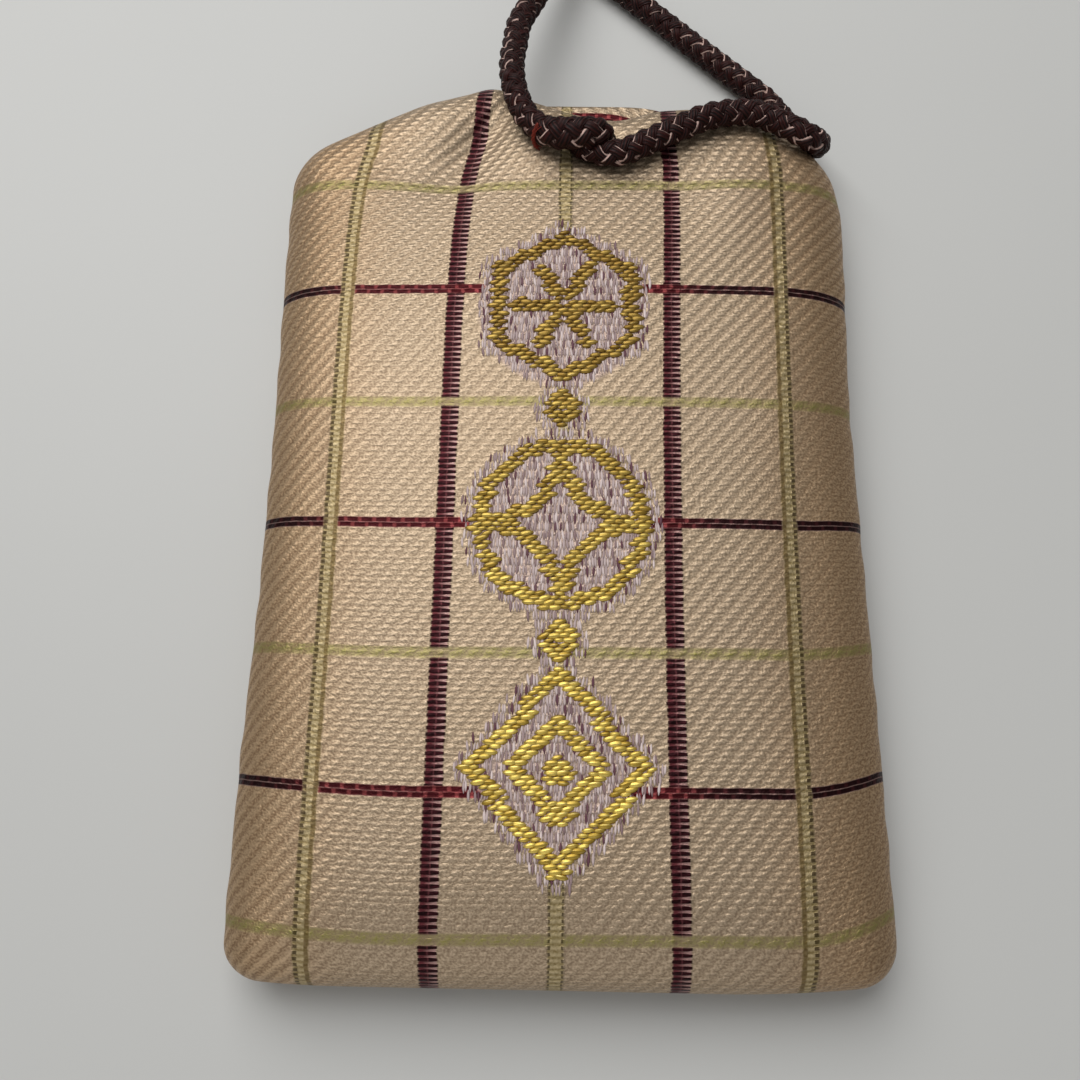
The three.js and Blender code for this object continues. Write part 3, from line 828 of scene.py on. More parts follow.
# %% Settle the front cloth
ENLARGE = 20.0
SETTLE_FRAMES = 16
SWELL_LIMIT = 0.5
SOFTEN_PASSES = 12
NECK_PINS_FROM = 28.0
NECK_PINS_HALF = 11
CORD_PINS_NEAR = 2.0
CLOTH_SETTINGS = {
    "quality": 6,
    "mass": 0.3,
    "tension_stiffness": 30,
    "compression_stiffness": 30,
    "shear_stiffness": 8,
    "bending_stiffness": 1.5,
    "shrink_min": -0.012,
    "use_pressure": True,
    "uniform_pressure_force": 4,
    "vertex_group_mass": "pinned",
}


def settle(points, pinned):
    """Swell a sheet as cloth held at its pinned points; no point moves further than the swell limit.

    Each softening pass gives a move half its own value and a quarter of both neighbours'.
    """
    rows, columns, _ = points.shape
    faces, _, _ = sheet_faces(rows, columns)
    piece = new_object("settling", points.reshape(-1, 3) * ENLARGE, faces)
    group = piece.vertex_groups.new(name="pinned")
    group.add([int(index) for index in np.flatnonzero(pinned.ravel())], 1.0, "REPLACE")
    cloth = piece.modifiers.new("cloth", "CLOTH")
    for name, value in CLOTH_SETTINGS.items():
        setattr(cloth.settings, name, value)
    cloth.settings.effector_weights.gravity = 0
    cloth.collision_settings.use_collision = False
    for step in range(1, SETTLE_FRAMES + 1):
        scene.frame_set(step)
    solved = piece.evaluated_get(bpy.context.evaluated_depsgraph_get()).data
    place = np.empty(len(solved.vertices) * 3, np.float32)
    solved.vertices.foreach_get("co", place)
    scene.frame_set(1)
    mesh = piece.data
    bpy.data.objects.remove(piece)
    bpy.data.meshes.remove(mesh)
    moved = place.reshape(points.shape).astype(float) / (ENLARGE * MM) - points
    size = np.linalg.norm(moved, axis=-1, keepdims=True)
    moved = moved * np.minimum(1, SWELL_LIMIT / np.maximum(size, 1e-9))
    for _ in range(SOFTEN_PASSES):
        moved[1:-1] = (moved[:-2] + 2 * moved[1:-1] + moved[2:]) / 4
        moved[:, 1:-1] = (moved[:, :-2] + 2 * moved[:, 1:-1] + moved[:, 2:]) / 4
    free = 1 - (1 - ramp(plan_inset, 0.5, 6.5)) ** 2
    near_neck = ramp(plan_y, 20, 29) * ramp(-np.abs(plan_x), -17, -10)
    return points + (free * (1 - near_neck))[..., None] * moved


edge_pins = np.ones((ROWS, COLUMNS), bool)
edge_pins[1:-1, 1:-1] = False
neck_pins = (plan_y > NECK_PINS_FROM) & (np.abs(plan_x) < NECK_PINS_HALF)
cord_gap = np.linalg.norm(front_points[..., None, :2] - resting[::6, :2], axis=-1).min(axis=-1)
front_points = settle(front_points, edge_pins | neck_pins | (cord_gap < CORD_PINS_NEAR))
print("settled front cloth height in mm:", front_points[..., 2].max())

# %% [markdown]
# ## Panels with turned hems
#
# A sewn panel doesn't stop at its edge. The cloth turns inwards there, as a seam allowance
# along the seam and as a hem along the mouth. Three rings of points behind the edge make
# that turn, and a Solidify modifier gives the cloth its thickness. The weave map is the
# length over the surface, so the check keeps its size, and it is then drawn a little as the
# sewn cloth is. The back is flat, and its check is cut from another place of the same cloth.

# %% Places on the flat cloth
CHECK_TILT = 0.012
LEFT_DRAWN_UP = 0.45
LEFT_DRAWN_LOW = 0.65
RIGHT_DRAWN_LOW = 1.6
NECK_DRAW_POWER = 2.4
MIDDLE_DRAW = 0.38


def lengths(points, axes, direction):
    """Length along the rows or the columns of a sheet: the sum of the steps, seen along the axis left out."""
    places = points[..., axes]
    steps = np.diff(places, axis=direction, prepend=np.take(places, [0], axis=direction))
    return np.cumsum(np.linalg.norm(steps, axis=-1), axis=direction)


def cloth_places(points):
    """Places on the flat cloth: length across from x = 0 and length along from y = 0.

    The lines are then drawn up at the sides, the left ones in towards the neck and the right
    ones in towards the middle.
    """
    across = lengths(points, [0, 2], 1)
    along = lengths(points, [1, 2], 0)
    across_zero = [np.interp(0, points[row, :, 0], across[row]) for row in range(ROWS)]
    along_zero = [np.interp(0, points[:, column, 1], along[:, column]) for column in range(COLUMNS)]
    across = across - np.array(across_zero)[:, None]
    along = along - np.array(along_zero)
    x, y = points[..., 0], points[..., 1]
    low = np.clip((10 - y) / 34, 0, 1.4)
    left_up = ramp(-x, 9, 25) ** 2 * (LEFT_DRAWN_UP + LEFT_DRAWN_LOW * low)
    right_up = ramp(x, 17, 25) ** 2 * RIGHT_DRAWN_LOW * low
    to_neck = np.clip((y - 10) / 22, 0, None) ** NECK_DRAW_POWER
    to_neck = to_neck * ramp(-x, 0, 7) * np.interp(x, [-20, -10], [0.75, 1])
    to_middle = MIDDLE_DRAW * np.clip(1 - ((y + 8) / 32) ** 2, 0, 1)
    to_middle = to_middle * np.interp(x, [0, 7, 10, 20], [0, 1, 1, 0.5])
    return np.stack([across - to_neck + to_middle, along - left_up - right_up - CHECK_TILT * x], axis=-1)


print("check tilt in degrees:", round(math.degrees(CHECK_TILT), 2))

# %% Front panel mesh
CLOTH = 0.45
HEM_REACH = [0.3, 1.2, 3.8]
MOUTH_HEM = 4.0
HEM_GAP = 0.05
LIP_DROPS = [0.45, 0.35, 0.25]
INNER_HEM_RISE = 0.75
# Each row has a length along the front and the place of the weave there
FRONT_STRETCH = np.array([[-45.0, -44.85], [0.0, 0.15], [27.05, 27.5], [39.9, 37.9], [45.0, 42.0]])


def edge_loop(rows, columns):
    """Indices of the points round the sheet's edge, anticlockwise from above."""
    bottom = np.arange(columns)
    right = np.arange(1, rows) * columns + columns - 1
    top = (rows - 1) * columns + np.arange(columns - 2, -1, -1)
    left = np.arange(rows - 2, 0, -1) * columns
    return np.concatenate([bottom, right, top, left])


def mouth_share(edge):
    """1 along the mouth and 0 along the seam, with a short slope between."""
    return ramp(-np.abs(edge[:, 0]), -9.5, -7.0) * (edge[:, 1] > 30)


def panel(name, points, weave, hem_heights, upward):
    """A panel mesh: the sheet, then rings inside its edge at the hem's reaches and heights."""
    rows, columns, _ = points.shape
    faces, _, _ = sheet_faces(rows, columns)
    loop = edge_loop(rows, columns)
    edge = points.reshape(-1, 3)[loop]
    along = np.roll(edge[:, :2], -1, axis=0) - np.roll(edge[:, :2], 1, axis=0)
    outward = unit(np.stack([along[:, 1], -along[:, 0]], axis=1))
    mouth = mouth_share(edge)[:, None]
    every_point = [points.reshape(-1, 3)]
    every_weave = [weave.reshape(-1, 2)]
    every_face = [faces]
    last = loop
    for depth, heights in zip(HEM_REACH, hem_heights):
        reach = depth + MOUTH_HEM * mouth * (depth == HEM_REACH[-1])
        ring = rows * columns + len(loop) * (len(every_point) - 1) + np.arange(len(loop))
        every_point.append(np.column_stack([edge[:, :2] - outward * reach, heights]))
        every_weave.append(weave.reshape(-1, 2)[loop] + outward * reach)
        every_face.append(np.stack([np.roll(last, -1), last, ring, np.roll(ring, -1)], axis=1))
        last = ring
    faces = np.concatenate(every_face)
    if not upward:
        faces = faces[:, ::-1]
    weave = np.concatenate(every_weave)
    made = new_object(name, np.concatenate(every_point), faces, weave[faces])
    thick = made.modifiers.new("thickness", "SOLIDIFY")
    thick.thickness = CLOTH * MM
    thick.offset = -1
    fine = made.modifiers.new("smoothing", "SUBSURF")
    fine.levels = 1
    fine.render_levels = 1
    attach(made, "pouch")
    return made


front_weave = cloth_places(front_points)
front_weave[..., 1] = np.interp(front_weave[..., 1], *FRONT_STRETCH.T)
front_loop = front_points.reshape(-1, 3)[edge_loop(ROWS, COLUMNS)]
open_lip = ramp(front_loop[:, 2], FRONT_SEAM, FRONT_SEAM + 1)
front_hems = [front_loop[:, 2] - HEM_GAP - drop * open_lip for drop in LIP_DROPS]
front_hems[-1] = front_hems[-1] + INNER_HEM_RISE * mouth_share(front_loop)
front = panel("front_cloth", front_points, front_weave, front_hems, upward=True)
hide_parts("front_panel")
print("front cloth faces:", len(front.data.polygons))

# %% Back panel mesh
BACK_LINE_SHIFT = -3.9
BACK_LIP = 3.2
BACK_HEM_GAP = 0.1
BACK_HEM_DROP = 1.5

back_lip = np.interp(plan_x, [-10.4, -6, 7, 10.4], [BACK_SEAM, BACK_LIP, BACK_LIP, BACK_SEAM])
back_z = back_lip * (1 - edge_profile(plan_inset))
back_dip = hill(plan_x, plan_y, 10.5, TOP, 2.2, 5.0)
back_points = np.stack([plan_x, plan_y - back_dip, back_z], axis=-1)
back_weave = cloth_places(back_points) + np.array([0.0, BACK_LINE_SHIFT])
back_loop = back_points.reshape(-1, 3)[edge_loop(ROWS, COLUMNS)]
back_outer = back_loop[:, 2] + HEM_GAP
back_inner = back_loop[:, 2] - BACK_HEM_GAP - BACK_HEM_DROP * mouth_share(back_loop)
back = panel("back_cloth", back_points, back_weave, [back_outer, back_outer, back_inner], upward=False)
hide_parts("back_panel")
print("back cloth faces:", len(back.data.polygons))

# %% [markdown]
# ## Brocade
#
# The ground is a twill: each row of weft floats starts a little further on, so bright grains
# line up along diagonals. One wave makes the diagonal ribs and another the rows, and their
# product is the grain. Fine noise adds flecks of thread. The twill's contrast is painted
# stronger towards the top and in the left margin and calmer in the middle, as painted
# highlight for the glints that the light brings out there, and the sides are painted browner
# as painted shade; smooth steps over the cloth's own places weigh these parts. Satin thread
# shines like matt metal, so the finish is largely metallic. Over the ground run a green and
# a burgundy check, woven from dashes of dark thread with paler thread between, with a painted
# shadow line along one side of the upright green stripes. Where two stripes cross, one of
# them passes on top.

# %% Brocade ground
TWILL_ACROSS = 0.80
TWILL_ALONG = 0.72
ROWS_PER_MM = 2.105
SHADED_SIDES = (13.0, 23.0)
GLINTING_TOP = (4.0, 24.0)
LEFT_MARGIN = (-15.0, -20.0)
RIGHT_BEGINS = (-2.0, 8.0)
RIGHT_ENDS = (19.0, 16.5)
RIB_SHARE = 0.14
GRAIN_SHARE = 0.34
MARGIN_RIBS = 0.26

brocade, brocade_shader, brocade_signal = new_material(
    "check_brocade", {"Metallic": 0.75, "Specular IOR Level": 0.3}
)
across, along = weave_place(brocade_signal)
across = across + (noise(across, along, 1.1, 1.1) - 0.5) * 0.20
along = along + (noise(along, across, 0.9, 0.9) - 0.5) * 0.10
ribs = (along * TWILL_ALONG - across * TWILL_ACROSS).wave(1.0)
weft = along.wave(1 / ROWS_PER_MM)
grain = ribs * weft
speckle = noise(across, along, 4.6, 6.2)
thread_tone = noise(across, along, 1.5, 4.0)
# Painted shade: the sides are mixed towards browner colours, where the cloth rolls away from the light.
side = abs(across).step(*SHADED_SIDES)
pale = side.mix(colour(199, 177, 150), colour(193, 164, 130))
deep = side.mix(colour(145, 125, 102), colour(139, 112, 84))
# Painted highlight: the twill's contrast is raised towards the top and in the left margin and lowered in the
# middle, for the glints that the light brings out there; the top is also painted a little darker.
top = along.step(*GLINTING_TOP)
margin = across.step(*LEFT_MARGIN) * (1.0 - top)
right = across.step(*RIGHT_BEGINS) * across.step(*RIGHT_ENDS)
calm = (1.0 - top) * (1.0 - margin) * (1.0 - right * 0.5)
twill = ribs * (margin * MARGIN_RIBS + RIB_SHARE) + grain * (GRAIN_SHARE - margin * MARGIN_RIBS)
twill = twill * (1.0 - calm * 0.6 + top * 0.4)
ground_tone = twill + weft * calm * 0.1 + speckle * 1.6 - top * 0.02 - 0.45
ground = ground_tone.step(0.0, 1.0).mix(deep, pale)
print("twill lines and weft rows per mm:", TWILL_ACROSS, TWILL_ALONG, ROWS_PER_MM)

# %% Green check
STRIPE_ACROSS = 18.48
STRIPE_ALONG = 20.88
GREEN_LINE = 27.53
BURGUNDY_LINE = 37.97

green_v = across.repeat(STRIPE_ACROSS)
green_h = along.repeat(STRIPE_ALONG, GREEN_LINE)
green_thread = ribs * 0.3 + weft * 0.2 + speckle.step(0.35, 0.65) * 0.4 + 0.15
cloth = (green_h.band(0.42, 0.14) * green_thread).mix(ground, colour(146, 137, 80))

outer = across.step(-1.0, 1.0) * 2.0 - 1.0
green_side = green_v * outer
green_body = green_v.band(0.60, 0.10)
green_teeth = (green_side - 0.43).band(0.17, 0.06) * weft.step(0.22, 0.55)
# Painted shadow: a dark olive line along one side of the upright green stripes.
green_shade = (green_side + 0.42).band(0.18, 0.07) * (weft * 0.35 + 0.65)
green_cloth = (weft * 0.7 + speckle * 0.8 - 0.25).mix(colour(130, 113, 68), colour(196, 178, 138))
green_cloth = green_shade.mix(green_cloth, colour(104, 84, 42))
green_cloth = green_teeth.mix(green_cloth, colour(66, 54, 26))
cloth = (green_body * 0.85).mix(cloth, green_cloth)
print("check repeats in mm:", STRIPE_ACROSS, STRIPE_ALONG)

# %% Burgundy check
burgundy_v = across.repeat(STRIPE_ACROSS, STRIPE_ACROSS / 2)
burgundy_h = along.repeat(STRIPE_ALONG, BURGUNDY_LINE)
under_green = 1.0 - green_h.band(0.42, 0.10) * 0.85
red_gap = burgundy_v.step(-0.4, 0.6).mix(colour(98, 46, 50), colour(172, 136, 130))
cloth = (burgundy_v.band(0.66, 0.10) * under_green).mix(cloth, red_gap)
red_dashes = (weft - burgundy_v * burgundy_v * 0.5).step(0.12, 0.40) * burgundy_v.band(0.73, 0.06)
red_dark = thread_tone.step(0.3, 0.7).mix(colour(30, 5, 8), colour(52, 13, 19))
red_dark = (burgundy_v.band(0.05, 0.05) * 0.6).mix(red_dark, colour(104, 54, 58))
red_body = red_dashes * under_green
cloth = red_body.mix(cloth, red_dark)

crimson = across.step(-22.0, -17.0) * across.step(14.0, 8.0) * (abs(across).step(12.0, 7.0) * 0.45 + 0.55)
line_rows = (abs(burgundy_h) - 0.21).band(0.19, 0.05)
line_dashes = (across + burgundy_h.step(-0.05, 0.05) * 0.55).wave(1.15).step(0.0, 0.3)
line_dark = crimson.mix(colour(34, 7, 9), colour(76, 16, 22))
line_pale = crimson.mix(colour(60, 24, 26), colour(142, 64, 64))
line_middle = crimson.mix(colour(160, 130, 122), colour(134, 70, 68))
red_line = line_rows.mix(line_middle, line_dashes.mix(line_pale, line_dark))
cloth = (burgundy_h.band(0.43, 0.06) * (1.0 - green_body * 0.9)).mix(cloth, red_line)
print("first burgundy line at mm:", BURGUNDY_LINE)

# %% Plain ground under the motifs, and the brocade's finish
FLOWER_PLACE = np.array([0.0, 15.2])
RING_PLACE = np.array([0.0, -4.0])
LOZENGE_PLACE = np.array([0.0, -23.2])
MOTIF_RADIUS = 6.5

covered = 0.0
for motif_place, corner in ((FLOWER_PLACE, 0.0), (RING_PLACE, 0.0), (LOZENGE_PLACE, 2.0)):
    beside = abs(across - float(motif_place[0]))
    above = abs(along - float(motif_place[1]))
    far = beside * beside + above * above + beside * above * corner
    covered = far.step((MOTIF_RADIUS + 0.9) ** 2, (MOTIF_RADIUS + 0.3) ** 2) + covered
cloth = covered.mix(cloth, (speckle * 1.5 - 0.25).mix(colour(158, 136, 124), colour(194, 172, 158)))
connect(cloth, brocade_shader, "Base Color")

relief = twill * 1.8 + weft * calm * 0.08 + speckle * 0.5 + red_body * 0.4 + green_teeth * 0.3
connect(0.55 - ribs * 0.10, brocade_shader, "Roughness")
bump(relief, brocade_shader, 0.00008)
for panel_piece in (front, back):
    panel_piece.data.materials.append(brocade)
print("material:", brocade.name)

# %% [markdown]
# ## Gold motifs
#
# Gold thread floats on the middle of the front in short rows. Here they form three plain
# old figures: a flower in a hexagon, a ring with four arcs, and nested lozenges. Each figure
# is a list of lines, and a bead of gold lies wherever the rows of floats come near enough to
# a line. Short lilac threads fill a margin round the gold, as the hidden weft does where it
# surfaces. All this could be painted into the cloth, but floats stand proud and catch the
# light, so each is a small mesh. The gold is painted darker towards the neck, as painted shade
# for the weaker reflection of its metal there, and its palest glints are painted highlight.


# %% Lines of the motifs
def polygon(middle, radius, corners, turn=0.0, tall=1.0):
    """Closed outline of a regular polygon, stretched along y."""
    angle = turn + 2 * np.pi * np.arange(corners + 1) / corners
    return middle + radius * np.stack([np.cos(angle), tall * np.sin(angle)], axis=1)


def arc(middle, radius, start, end, steps=12):
    """Part of a circle between two angles in degrees."""
    angle = np.radians(np.linspace(start, end, steps))
    return middle + radius * np.stack([np.cos(angle), np.sin(angle)], axis=1)


motif_lines = [polygon(FLOWER_PLACE, MOTIF_RADIUS, 6, np.pi / 2)]
for petal in range(6):
    facing = np.array([math.cos(math.pi * petal / 3), math.sin(math.pi * petal / 3)])
    motif_lines.append(FLOWER_PLACE + np.outer([0.9, 4.0], facing))
motif_lines.append(arc(RING_PLACE, MOTIF_RADIUS, 0, 360, 36))
for quarter in range(4):
    facing = math.pi / 4 + quarter * math.pi / 2
    corner = RING_PLACE + MOTIF_RADIUS * math.sqrt(2) * np.array([math.cos(facing), math.sin(facing)])
    motif_lines.append(arc(corner, MOTIF_RADIUS, 180 + 90 * quarter, 270 + 90 * quarter))
motif_lines.append(polygon(LOZENGE_PLACE, MOTIF_RADIUS, 4, 0.0, 1.12))
motif_lines.append(polygon(LOZENGE_PLACE, 0.5 * MOTIF_RADIUS, 4, 0.0, 1.12))
motif_lines.append(polygon(LOZENGE_PLACE, 0.6, 4))
for pair in (FLOWER_PLACE + RING_PLACE, RING_PLACE + LOZENGE_PLACE):
    motif_lines.append(polygon(pair / 2, 0.9, 4, 0.0, 1.3))
print("motif lines:", len(motif_lines))

# %% Gold and lilac threads
STROKE = 0.58
HALO = 1.0
MOTIFS_LOW = -36
MOTIFS_HIGH = 26
MOTIFS_HALF = 9
GOLD_PITCH = (0.78, 0.37)
LILAC_PITCH = (0.25, 0.72)
motif_random = np.random.default_rng(7)


def staggered(pitch, jitter):
    """Places of a lattice over the middle of the front, every other row moved on by half a pitch."""
    lattice = np.mgrid[MOTIFS_LOW : MOTIFS_HIGH : pitch[1], -MOTIFS_HALF : MOTIFS_HALF : pitch[0]]
    row, column = lattice.reshape(2, -1)
    shift = np.round((row - MOTIFS_LOW) / pitch[1]) % 2 * pitch[0] / 2
    wander = motif_random.uniform(-jitter, jitter, (2, len(row)))
    return np.stack([column + shift + wander[0], row + wander[1]], axis=1)


def face_at(places):
    """Height of the settled front cloth at places in plan, linear between its grid lines."""
    grid_x = plan_x[ROWS // 2]
    grid_y = plan_y[:, COLUMNS // 2]
    column = np.clip(np.searchsorted(grid_x, places[:, 0]) - 1, 0, COLUMNS - 2)
    row = np.clip(np.searchsorted(grid_y, places[:, 1]) - 1, 0, ROWS - 2)
    u = (places[:, 0] - grid_x[column]) / (grid_x[column + 1] - grid_x[column])
    v = (places[:, 1] - grid_y[row]) / (grid_y[row + 1] - grid_y[row])
    height = front_points[..., 2]
    low = height[row, column] * (1 - u) + height[row, column + 1] * u
    high = height[row + 1, column] * (1 - u) + height[row + 1, column + 1] * u
    return low * (1 - v) + high * v


def floats(name, places, half_long, half_wide, half_high, turns, steps, sides):
    """Short threads on the face: ellipsoids cut in rings, each lying along its own direction in plan."""
    along = np.linspace(-0.97, 0.97, steps)
    fat = np.sqrt(1 - along**2)
    around = ring_angles(sides)
    ahead = np.stack([np.cos(turns), np.sin(turns)], axis=1)
    aside = np.stack([-ahead[:, 1], ahead[:, 0]], axis=1)
    size = motif_random.uniform(0.8, 1.2, len(places))[:, None, None, None]
    length = size * along[None, :, None, None] * half_long * ahead[:, None, None]
    width = size * (fat[:, None] * np.cos(around))[None, ..., None] * half_wide * aside[:, None, None]
    plan = places[:, None, None] + length + width
    height = face_at(plan.reshape(-1, 2)).reshape(plan.shape[:-1])
    height = height + 0.4 * half_high + (fat[:, None] * np.sin(around))[None] * half_high
    made = tubes(name, np.concatenate([plan, height[..., None]], axis=-1), along * half_long)
    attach(made, "pouch")
    return made


gold_places = staggered(GOLD_PITCH, 0.04)
gold_places = gold_places[distance_to_lines(gold_places, motif_lines) < STROKE]
gold_turns = 0.12 + motif_random.normal(0, 0.10, len(gold_places))
gold = floats("gold_floats", gold_places, 0.52, 0.22, 0.16, gold_turns, steps=6, sides=8)
lilac_places = staggered(LILAC_PITCH, 0.06)
lilac_gap = distance_to_lines(lilac_places, motif_lines)
lilac_edge = STROKE + HALO * motif_random.uniform(0.6, 1.1, len(lilac_places))
for middle, filled in ((FLOWER_PLACE, 5.6), (RING_PLACE, 6.4), (LOZENGE_PLACE, 4.7)):
    lilac_edge[np.linalg.norm(lilac_places - middle, axis=1) < filled] = MOTIF_RADIUS
lilac_places = lilac_places[(lilac_gap > STROKE - 0.25) & (lilac_gap < lilac_edge)]
lilac_turns = np.pi / 2 + motif_random.normal(0, 0.08, len(lilac_places))
lilac = floats("lilac_floats", lilac_places, 0.44, 0.11, 0.06, lilac_turns, steps=4, sides=5)
print("gold and lilac threads:", len(gold_places), len(lilac_places))

# %% Gold and lilac finishes
# Where along y the gold is painted darker as shade, and how much at most.
NECK_SHADE_FROM = -0.030
NECK_SHADE_TO = 0.022
NECK_SHADE_MOST = 0.75

gold_material, gold_shader, gold_signal = new_material("gold_thread", {"Metallic": 0.7})
gold_turn, gold_length = weave_place(gold_signal)
bead = gold_turn.maths("FLOOR")
bead_tone = noise(bead, 0.0, 0.73, 1.0, detail=0.0)
gold_sheen = noise(gold_turn, gold_length, 9.0, 0.6)
gold_colour = bead_tone.step(0.25, 0.75).mix(colour(174, 142, 52), colour(240, 212, 108))
# Painted highlight: the palest gold is mixed in where the sheen noise is high.
gold_colour = (gold_sheen.step(0.5, 0.8) * 0.6).mix(gold_colour, colour(254, 238, 160))
gold_place = object_place(gold_signal)
to_neck = gold_signal.node("ShaderNodeSeparateXYZ", None, {0: gold_place}, output="Y")
# Painted shade: towards the neck the gold is mixed towards a darker, duller gold, standing in for the weaker
# reflection of its metal there.
neck_shade = to_neck.step(NECK_SHADE_FROM, NECK_SHADE_TO) * NECK_SHADE_MOST
gold_colour = neck_shade.mix(gold_colour, bead_tone.mix(colour(104, 72, 28), colour(140, 102, 42)))
connect(gold_colour, gold_shader, "Base Color")
connect(0.5 - gold_sheen * 0.25, gold_shader, "Roughness")
bump(gold_sheen, gold_shader, 0.00004)
gold.data.materials.append(gold_material)

lilac_material, lilac_shader, lilac_signal = new_material("lilac_thread", {"Specular IOR Level": 0.3})
lilac_turn, _ = weave_place(lilac_signal)
tick = lilac_turn.maths("FLOOR")
tick_tone = noise(tick, 0.0, 0.79, 1.0, detail=0.0)
dark_tick = noise(tick, 0.0, 1.37, 1.0, detail=0.0).step(0.64, 0.68)
lilac_colour = tick_tone.step(0.3, 0.7).mix(colour(148, 122, 122), colour(232, 214, 210))
connect(dark_tick.mix(lilac_colour, colour(106, 68, 78)), lilac_shader, "Base Color")
connect(tick_tone * 0.2 + 0.5, lilac_shader, "Roughness")
lilac.data.materials.append(lilac_material)
print("materials:", gold_material.name, lilac_material.name)

# %% [markdown]
# ## Inner layers
#
# Under each cloth lies a stiff interlining, and between the interlinings two thin pads keep
# the tablet from showing through. They are hidden, but they are what gives the pouch its
# body. Each layer is a slab between two sheets that use the panel's own rows and columns.

# %% Interlinings and waddings
NEAR_EDGE = 5
FRONT_GAP = 0.35
BACK_GAP = 0.2
STIFF = 0.3
PAD_UNDER_FRONT = 0.75
PAD_OVER_BACK = 0.45
PAD_LEAST = 0.4
TABLET_TOP = 5.2
TABLET_FLOOR = 2.05


def layer(name, node, top, bottom, lumps, slot):
    """A closed slab between two heights over the panel's plan, within the CAD node's reach along y.

    The lumps of its upper side are a product of two sine waves that bend each other.
    """
    low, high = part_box(node)
    row_places = plan_y[:, COLUMNS // 2] * MM
    kept_rows = (row_places > low[1]) & (row_places < high[1])
    kept_columns = slice(NEAR_EDGE, COLUMNS - NEAR_EDGE)
    x = plan_x[kept_rows, kept_columns]
    y = front_points[kept_rows, kept_columns, 1]
    swell = lumps * np.sin(1.9 * x + 0.8 * np.sin(0.7 * y)) * np.sin(1.6 * y + 0.9 * np.sin(0.6 * x))
    upper = np.stack([x, y, top[kept_rows, kept_columns] + swell], axis=-1)
    lower = np.stack([x, y, bottom[kept_rows, kept_columns]], axis=-1)
    rows, columns, _ = upper.shape
    faces, _, _ = sheet_faces(rows, columns)
    loop = edge_loop(rows, columns)
    below = loop + rows * columns
    walls = np.stack([loop, below, np.roll(below, -1), np.roll(loop, -1)], axis=1)
    every_face = np.concatenate([faces, faces[:, ::-1] + rows * columns, walls])
    made = new_object(name, np.concatenate([upper.reshape(-1, 3), lower.reshape(-1, 3)]), every_face)
    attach(made, "pouch")
    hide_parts(node)
    return made


under_front = front_points[..., 2] - CLOTH - FRONT_GAP
stiff_floor = under_front - STIFF
over_back = back_points[..., 2] + CLOTH + BACK_GAP
front_stiff = layer("front_stiffener", "front_interlining", under_front, stiff_floor, 0.0, "interlining")
back_stiff = layer("back_stiffener", "back_interlining", over_back + STIFF, over_back, 0.0, "interlining")
front_pad_top = under_front - PAD_UNDER_FRONT
front_pad_floor = np.minimum(TABLET_TOP, front_pad_top - PAD_LEAST)
front_pad = layer("front_pad", "front_wadding", front_pad_top, front_pad_floor, 0.12, "wadding")
back_pad_floor = over_back + PAD_OVER_BACK
back_pad_top = np.maximum(TABLET_FLOOR, back_pad_floor + PAD_LEAST)
back_pad = layer("back_pad", "back_wadding", back_pad_top, back_pad_floor, 0.1, "wadding")
print("layers:", front_stiff.name, back_stiff.name, front_pad.name, back_pad.name)

# %% [markdown]
# ## Tack thread
#
# A short orange-red thread ties the bend of the cord to the cloth. It is sewing thread of
# three plies: each ply is a helix round the stitch's line, so a ring of the ply is a circle
# whose middle turns with length. A few loose fibres fray from it at both ends.

# %% Three-ply tack thread
TACK_PLY = 0.10
TACK_TWIST = 1.5
TACK_STEP = 0.08
FRAYS = 4
FRAY_SPREAD = 0.12
FRAY_RADIUS = 0.045
TACK_ROUTE = [
    [-2.42, 31.35, 10.62],
    [-2.78, 30.92, 10.1],
    [-2.90, 30.76, 9.4],
    [-2.80, 30.78, 8.7],
    [-2.60, 30.90, 8.0],
]
tack_line, tack_places = smooth_route(TACK_ROUTE, TACK_STEP)
tack_normals, tack_binormals = carried_frames(tack_line, [0, 0, 1])
fray_random = np.random.default_rng(3)


def round_rings(middles, radius, sides=8):
    """Rings of a thin thread: circles across the stitch's line round the given middles."""
    circle = turned_out(ring_angles(sides)[:, None], tack_normals, tack_binormals)
    return middles[:, None] + radius * circle.transpose(1, 0, 2)


def ply_rings(ply):
    """One ply: a thread whose middle turns round the stitch's line."""
    angle = 2 * np.pi * (tack_places / TACK_TWIST + ply / 3)
    return round_rings(tack_line + TACK_PLY * turned_out(angle, tack_normals, tack_binormals), TACK_PLY)


def fray_rings():
    """One loose fibre: it leaves the line with the square of the distance from the stitch's middle."""
    away = fray_random.normal(0, FRAY_SPREAD, 3) * [1, 1, 0.4]
    share = np.linspace(-1, 1, len(tack_places))[:, None]
    return round_rings(tack_line + share**2 * away + [0, -0.1, 0.1], FRAY_RADIUS)


tack_rings = [ply_rings(ply) for ply in range(3)] + [fray_rings() for _ in range(FRAYS)]
tack = tubes("tack_thread", np.array(tack_rings), tack_places)
tack_material, tack_shader, tack_signal = new_material("orange_red_thread", {"Specular IOR Level": 0.3})
tack_turn, tack_length = weave_place(tack_signal)
tack_fibres = noise(tack_turn, tack_length, 18.0, 3.0)
connect(tack_fibres.step(0.3, 0.7).mix(colour(100, 26, 18), colour(156, 58, 40)), tack_shader, "Base Color")
connect(tack_fibres * 0.2 + 0.5, tack_shader, "Roughness")
bump(tack_fibres, tack_shader, 0.00004)
tack.data.materials.append(tack_material)
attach(tack, "pouch")
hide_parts("tack_stitch")
print("tack length in mm:", round(float(tack_places[-1]), 2))

# %% [markdown]
# ## Finishes of the inner pieces
#
# The tablet, its paper sleeve and the seam threads keep their CAD solids, because those
# shapes are already right. These and the inner layers get a finish from noise on Object
# coordinates, stretched along the grain or fibre.

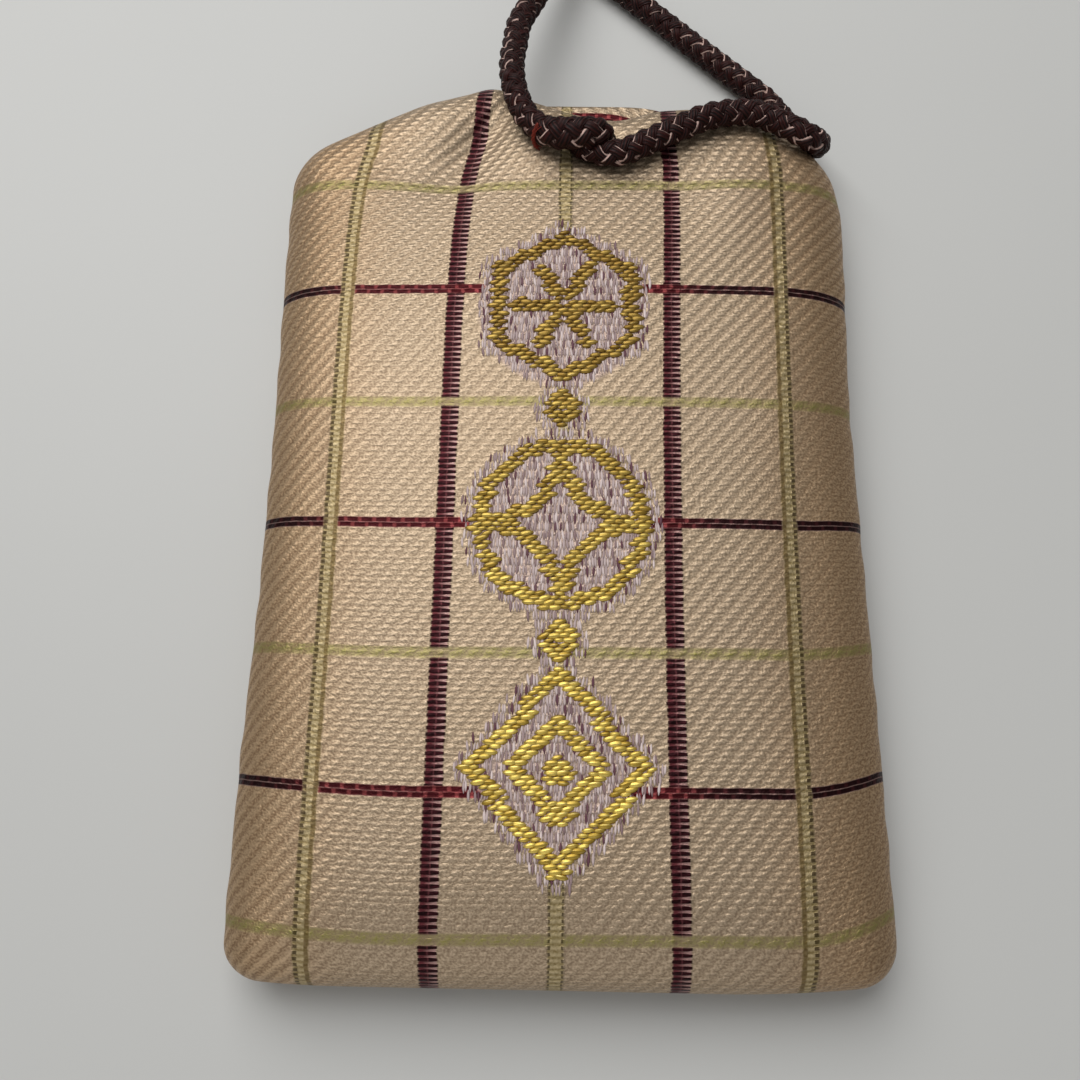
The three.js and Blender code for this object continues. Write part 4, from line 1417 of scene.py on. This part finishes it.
# %% Materials on Object coordinates
# Each finish has a dark and a light colour, a scale, a stretch by axis, a relief and a roughness
INNER_FINISHES = {
    "fused_interlining": ((202, 198, 188), (228, 225, 216), 900.0, (1, 1, 1), 0.00003, 0.75),
    "cotton_wadding": ((222, 218, 208), (242, 239, 232), 500.0, (1, 1, 1), 0.0002, 0.8),
    "planed_cypress": ((190, 150, 102), (224, 194, 148), 420.0, (1, 0.06, 1), 0.00003, 0.5),
    "folded_paper": ((228, 221, 203), (245, 240, 228), 700.0, (1, 0.4, 1), 0.00002, 0.7),
    "seam_thread": ((166, 140, 106), (214, 190, 154), 1500.0, (1, 1, 1), 0.00003, 0.55),
}
NODE_FINISHES = {
    "prayer_board": "planed_cypress",
    "paper_wrapper": "folded_paper",
    "seam_needle_thread": "seam_thread",
    "seam_bobbin_thread": "seam_thread",
}


def fibre_material(name, dark, light, scale, stretch, relief, rough):
    """A fibrous finish: noise in space, stretched by one factor for each axis, between two colours."""
    material, shader, signal = new_material(name)
    place = signal.node("ShaderNodeMapping", None, {0: object_place(signal), "Scale": stretch})
    fibres = signal.node("ShaderNodeTexNoise", None, {0: place, "Scale": scale, "Detail": 4.0})
    connect(fibres.step(0.3, 0.7).mix(colour(*dark), colour(*light)), shader, "Base Color")
    connect(fibres * 0.2 + rough, shader, "Roughness")
    bump(fibres, shader, relief)
    return material


finishes = {name: fibre_material(name, *values) for name, values in INNER_FINISHES.items()}
for node, finish in NODE_FINISHES.items():
    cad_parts[node].data.materials.clear()
    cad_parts[node].data.materials.append(finishes[finish])
for piece in (front_stiff, back_stiff):
    piece.data.materials.append(finishes["fused_interlining"])
for piece in (front_pad, back_pad):
    piece.data.materials.append(finishes["cotton_wadding"])
print("inner finishes:", sorted(finishes))

# %% [markdown]
# ## Floor and light
#
# The photograph shows a pale table under soft light from the far left. One large lamp there
# gives the soft shadows and the sheen of the left half, a weaker one fills the near side,
# and an even sky lights the rest.

# %% Floor and lamps
FLOOR_SIZE = 2.0
SKY_STRENGTH = 0.20

floor = new_object(
    "floor",
    np.array([[-1, -1, 0], [1, -1, 0], [1, 1, 0], [-1, 1, 0]]) * FLOOR_SIZE / MM,
    [[0, 1, 2, 3]],
)
floor_material, floor_shader, floor_signal = new_material("pale_table", {"Roughness": 0.55})
floor_place = object_place(floor_signal)
mottle = floor_signal.node("ShaderNodeTexNoise", None, {0: floor_place, "Scale": 14.0, "Detail": 3.0})
connect(mottle.mix(colour(199, 199, 196), colour(206, 206, 203)), floor_shader, "Base Color")
floor.data.materials.append(floor_material)


def soft_lamp(name, position, target, size, power):
    """A square lamp at a position in metres, turned towards a target."""
    lamp = bpy.data.lights.new(name, "AREA")
    lamp.size = size
    lamp.energy = power
    made = bpy.data.objects.new(name, lamp)
    scene.collection.objects.link(made)
    aim = (Vector(position) - Vector(target)).to_track_quat("Z", "Y")
    made.matrix_world = Matrix.Translation(position) @ aim.to_matrix().to_4x4()


soft_lamp("key", position=(-0.105, 0.22, 0.36), target=(0, 0, 0), size=0.38, power=1.62)
soft_lamp("fill", position=(-0.06, -0.34, 0.18), target=(0, -0.03, 0), size=0.40, power=0.30)
sky = bpy.data.worlds.new("sky")
scene.world = sky
sky.use_nodes = True
sky.node_tree.nodes["Background"].inputs["Color"].default_value = (1, 1, 1, 1)
sky.node_tree.nodes["Background"].inputs["Strength"].default_value = SKY_STRENGTH
print("lamps:", [thing.name for thing in bpy.data.lights])
